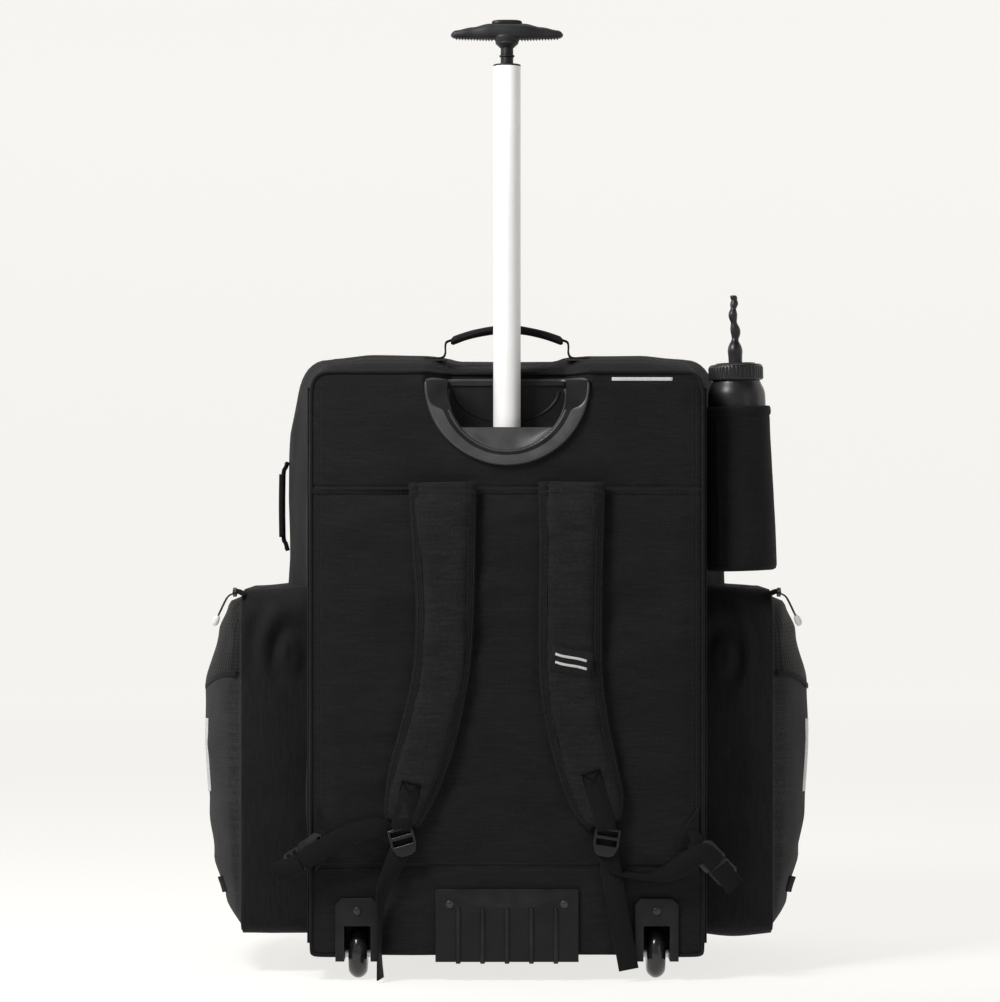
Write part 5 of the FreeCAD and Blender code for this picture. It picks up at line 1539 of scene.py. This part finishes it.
def hard_parts():
    """CAD parts whose shape is right keep it, with softened edges and a real finish."""
    for name, (material, edge) in HARD_FINISH.items():
        part = nodes[name]
        part.data.materials.clear()
        part.data.materials.append(material)
        if edge:
            bevelled(part, edge)


# --- Studio ------------------------------------------------------------------------------------


# How brightly the sweep glows near the camera and far behind the bag.
GLOW_FRONT = 0.27
GLOW_BACK = 0.768


def studio():
    """A pale round sweep, soft lights from the upper left, and a camera square to the straps."""
    profile = [(0.01, 0.0), (1.5, 0.0), (3.0, 0.0), (5.6, 0.0)]
    profile += [(5.6 + 2 * math.sin(a), 2 - 2 * math.cos(a)) for a in np.linspace(0.15, math.pi / 2, 10)]
    profile += [(7.6, 6.0)]
    steps = 96
    vertices = [(r * c, r * s, z) for r, z in profile for c, s in circle(steps)]
    faces = []
    for row in range(len(profile) - 1):
        for step in range(steps):
            after = (step + 1) % steps
            here, there = row * steps, (row + 1) * steps
            faces.append([here + step, here + after, there + after, there + step])
    sweep = new_piece("studio_sweep", vertices, faces)
    shader = Shader("studio_paper", Roughness=0.95)
    shader.surface.inputs["Emission Color"].default_value = (1.0, 0.982, 0.954, 1)
    shader.surface.inputs["Specular IOR Level"].default_value = 0.0
    source = shader.coordinates("Object")
    tooth = shader.noise(source, 300, 2)
    tone = shader.blend(shader.span(tooth, 0.3, 0.7), (0.29, 0.285, 0.277), (0.31, 0.305, 0.297))
    depth = shader.node("SeparateXYZ", {"Vector": source}).outputs["Y"]
    glow = shader.span(depth, -2.2, -0.2, GLOW_FRONT, GLOW_BACK)
    shader.tree.links.new(glow, shader.surface.inputs["Emission Strength"])
    sweep.data.materials.append(shader.finish(tone))

    world = bpy.data.worlds.new("studio_world")
    world.use_nodes = True
    world.node_tree.nodes["Background"].inputs[0].default_value = (0.98, 0.99, 1.0, 1)
    world.node_tree.nodes["Background"].inputs[1].default_value = 0.03
    bpy.context.scene.world = world

    def softbox(name, spot, target, size, power):
        light = bpy.data.lights.new(name, "AREA")
        light.shape = "RECTANGLE"
        light.size, light.size_y = size
        light.energy = power
        holder = bpy.data.objects.new(name, light)
        holder.location = spot
        aim = Vector(target) - Vector(spot)
        holder.rotation_euler = aim.to_track_quat("-Z", "Y").to_euler()
        bpy.context.scene.collection.objects.link(holder)

    softbox("key", (-0.85, -1.0, 1.72), (0, -0.1, 0.78), (0.5, 0.6), 31)
    softbox("fill", (2.2, -2.6, 1.0), (0, 0, 0.5), (1.2, 1.8), 5.5)
    softbox("top", (0.0, 0.1, 2.6), (0, 0, 0.6), (1.6, 0.9), 10)
    softbox("edge_left", (-2.4, 0.5, 1.3), (0, 0, 0.5), (0.9, 1.8), 9)
    softbox("edge_right", (2.4, 0.5, 1.3), (0, 0, 0.5), (0.9, 1.8), 3)

    camera = bpy.data.cameras.new("camera")
    camera.sensor_fit = "HORIZONTAL"
    camera.sensor_width = 36
    camera.lens = 115.2
    holder = bpy.data.objects.new("camera", camera)
    holder.location = (-0.00875, BACK_Y - 4.0, 0.6)
    holder.rotation_euler = (math.pi / 2, 0, 0)
    bpy.context.scene.collection.objects.link(holder)
    bpy.context.scene.camera = holder
    bpy.context.scene.view_settings.view_transform = "Standard"


# --- Build -------------------------------------------------------------------------------------

studio()
back_panel()
gusset()
base()
piping()
front()
corner_stripe()
grab_handle()
side_grab()
pull_grip()
bottle()
sleeve()
for one in SIDES:
    pocket(one)
    flap(one)
    zip_pull(one)
    shoulder_strap(one)
    lower_webbing(one)
    corner_tab(one)
    wheel(one)
strap_label()
hard_parts()
scoop_bezel()
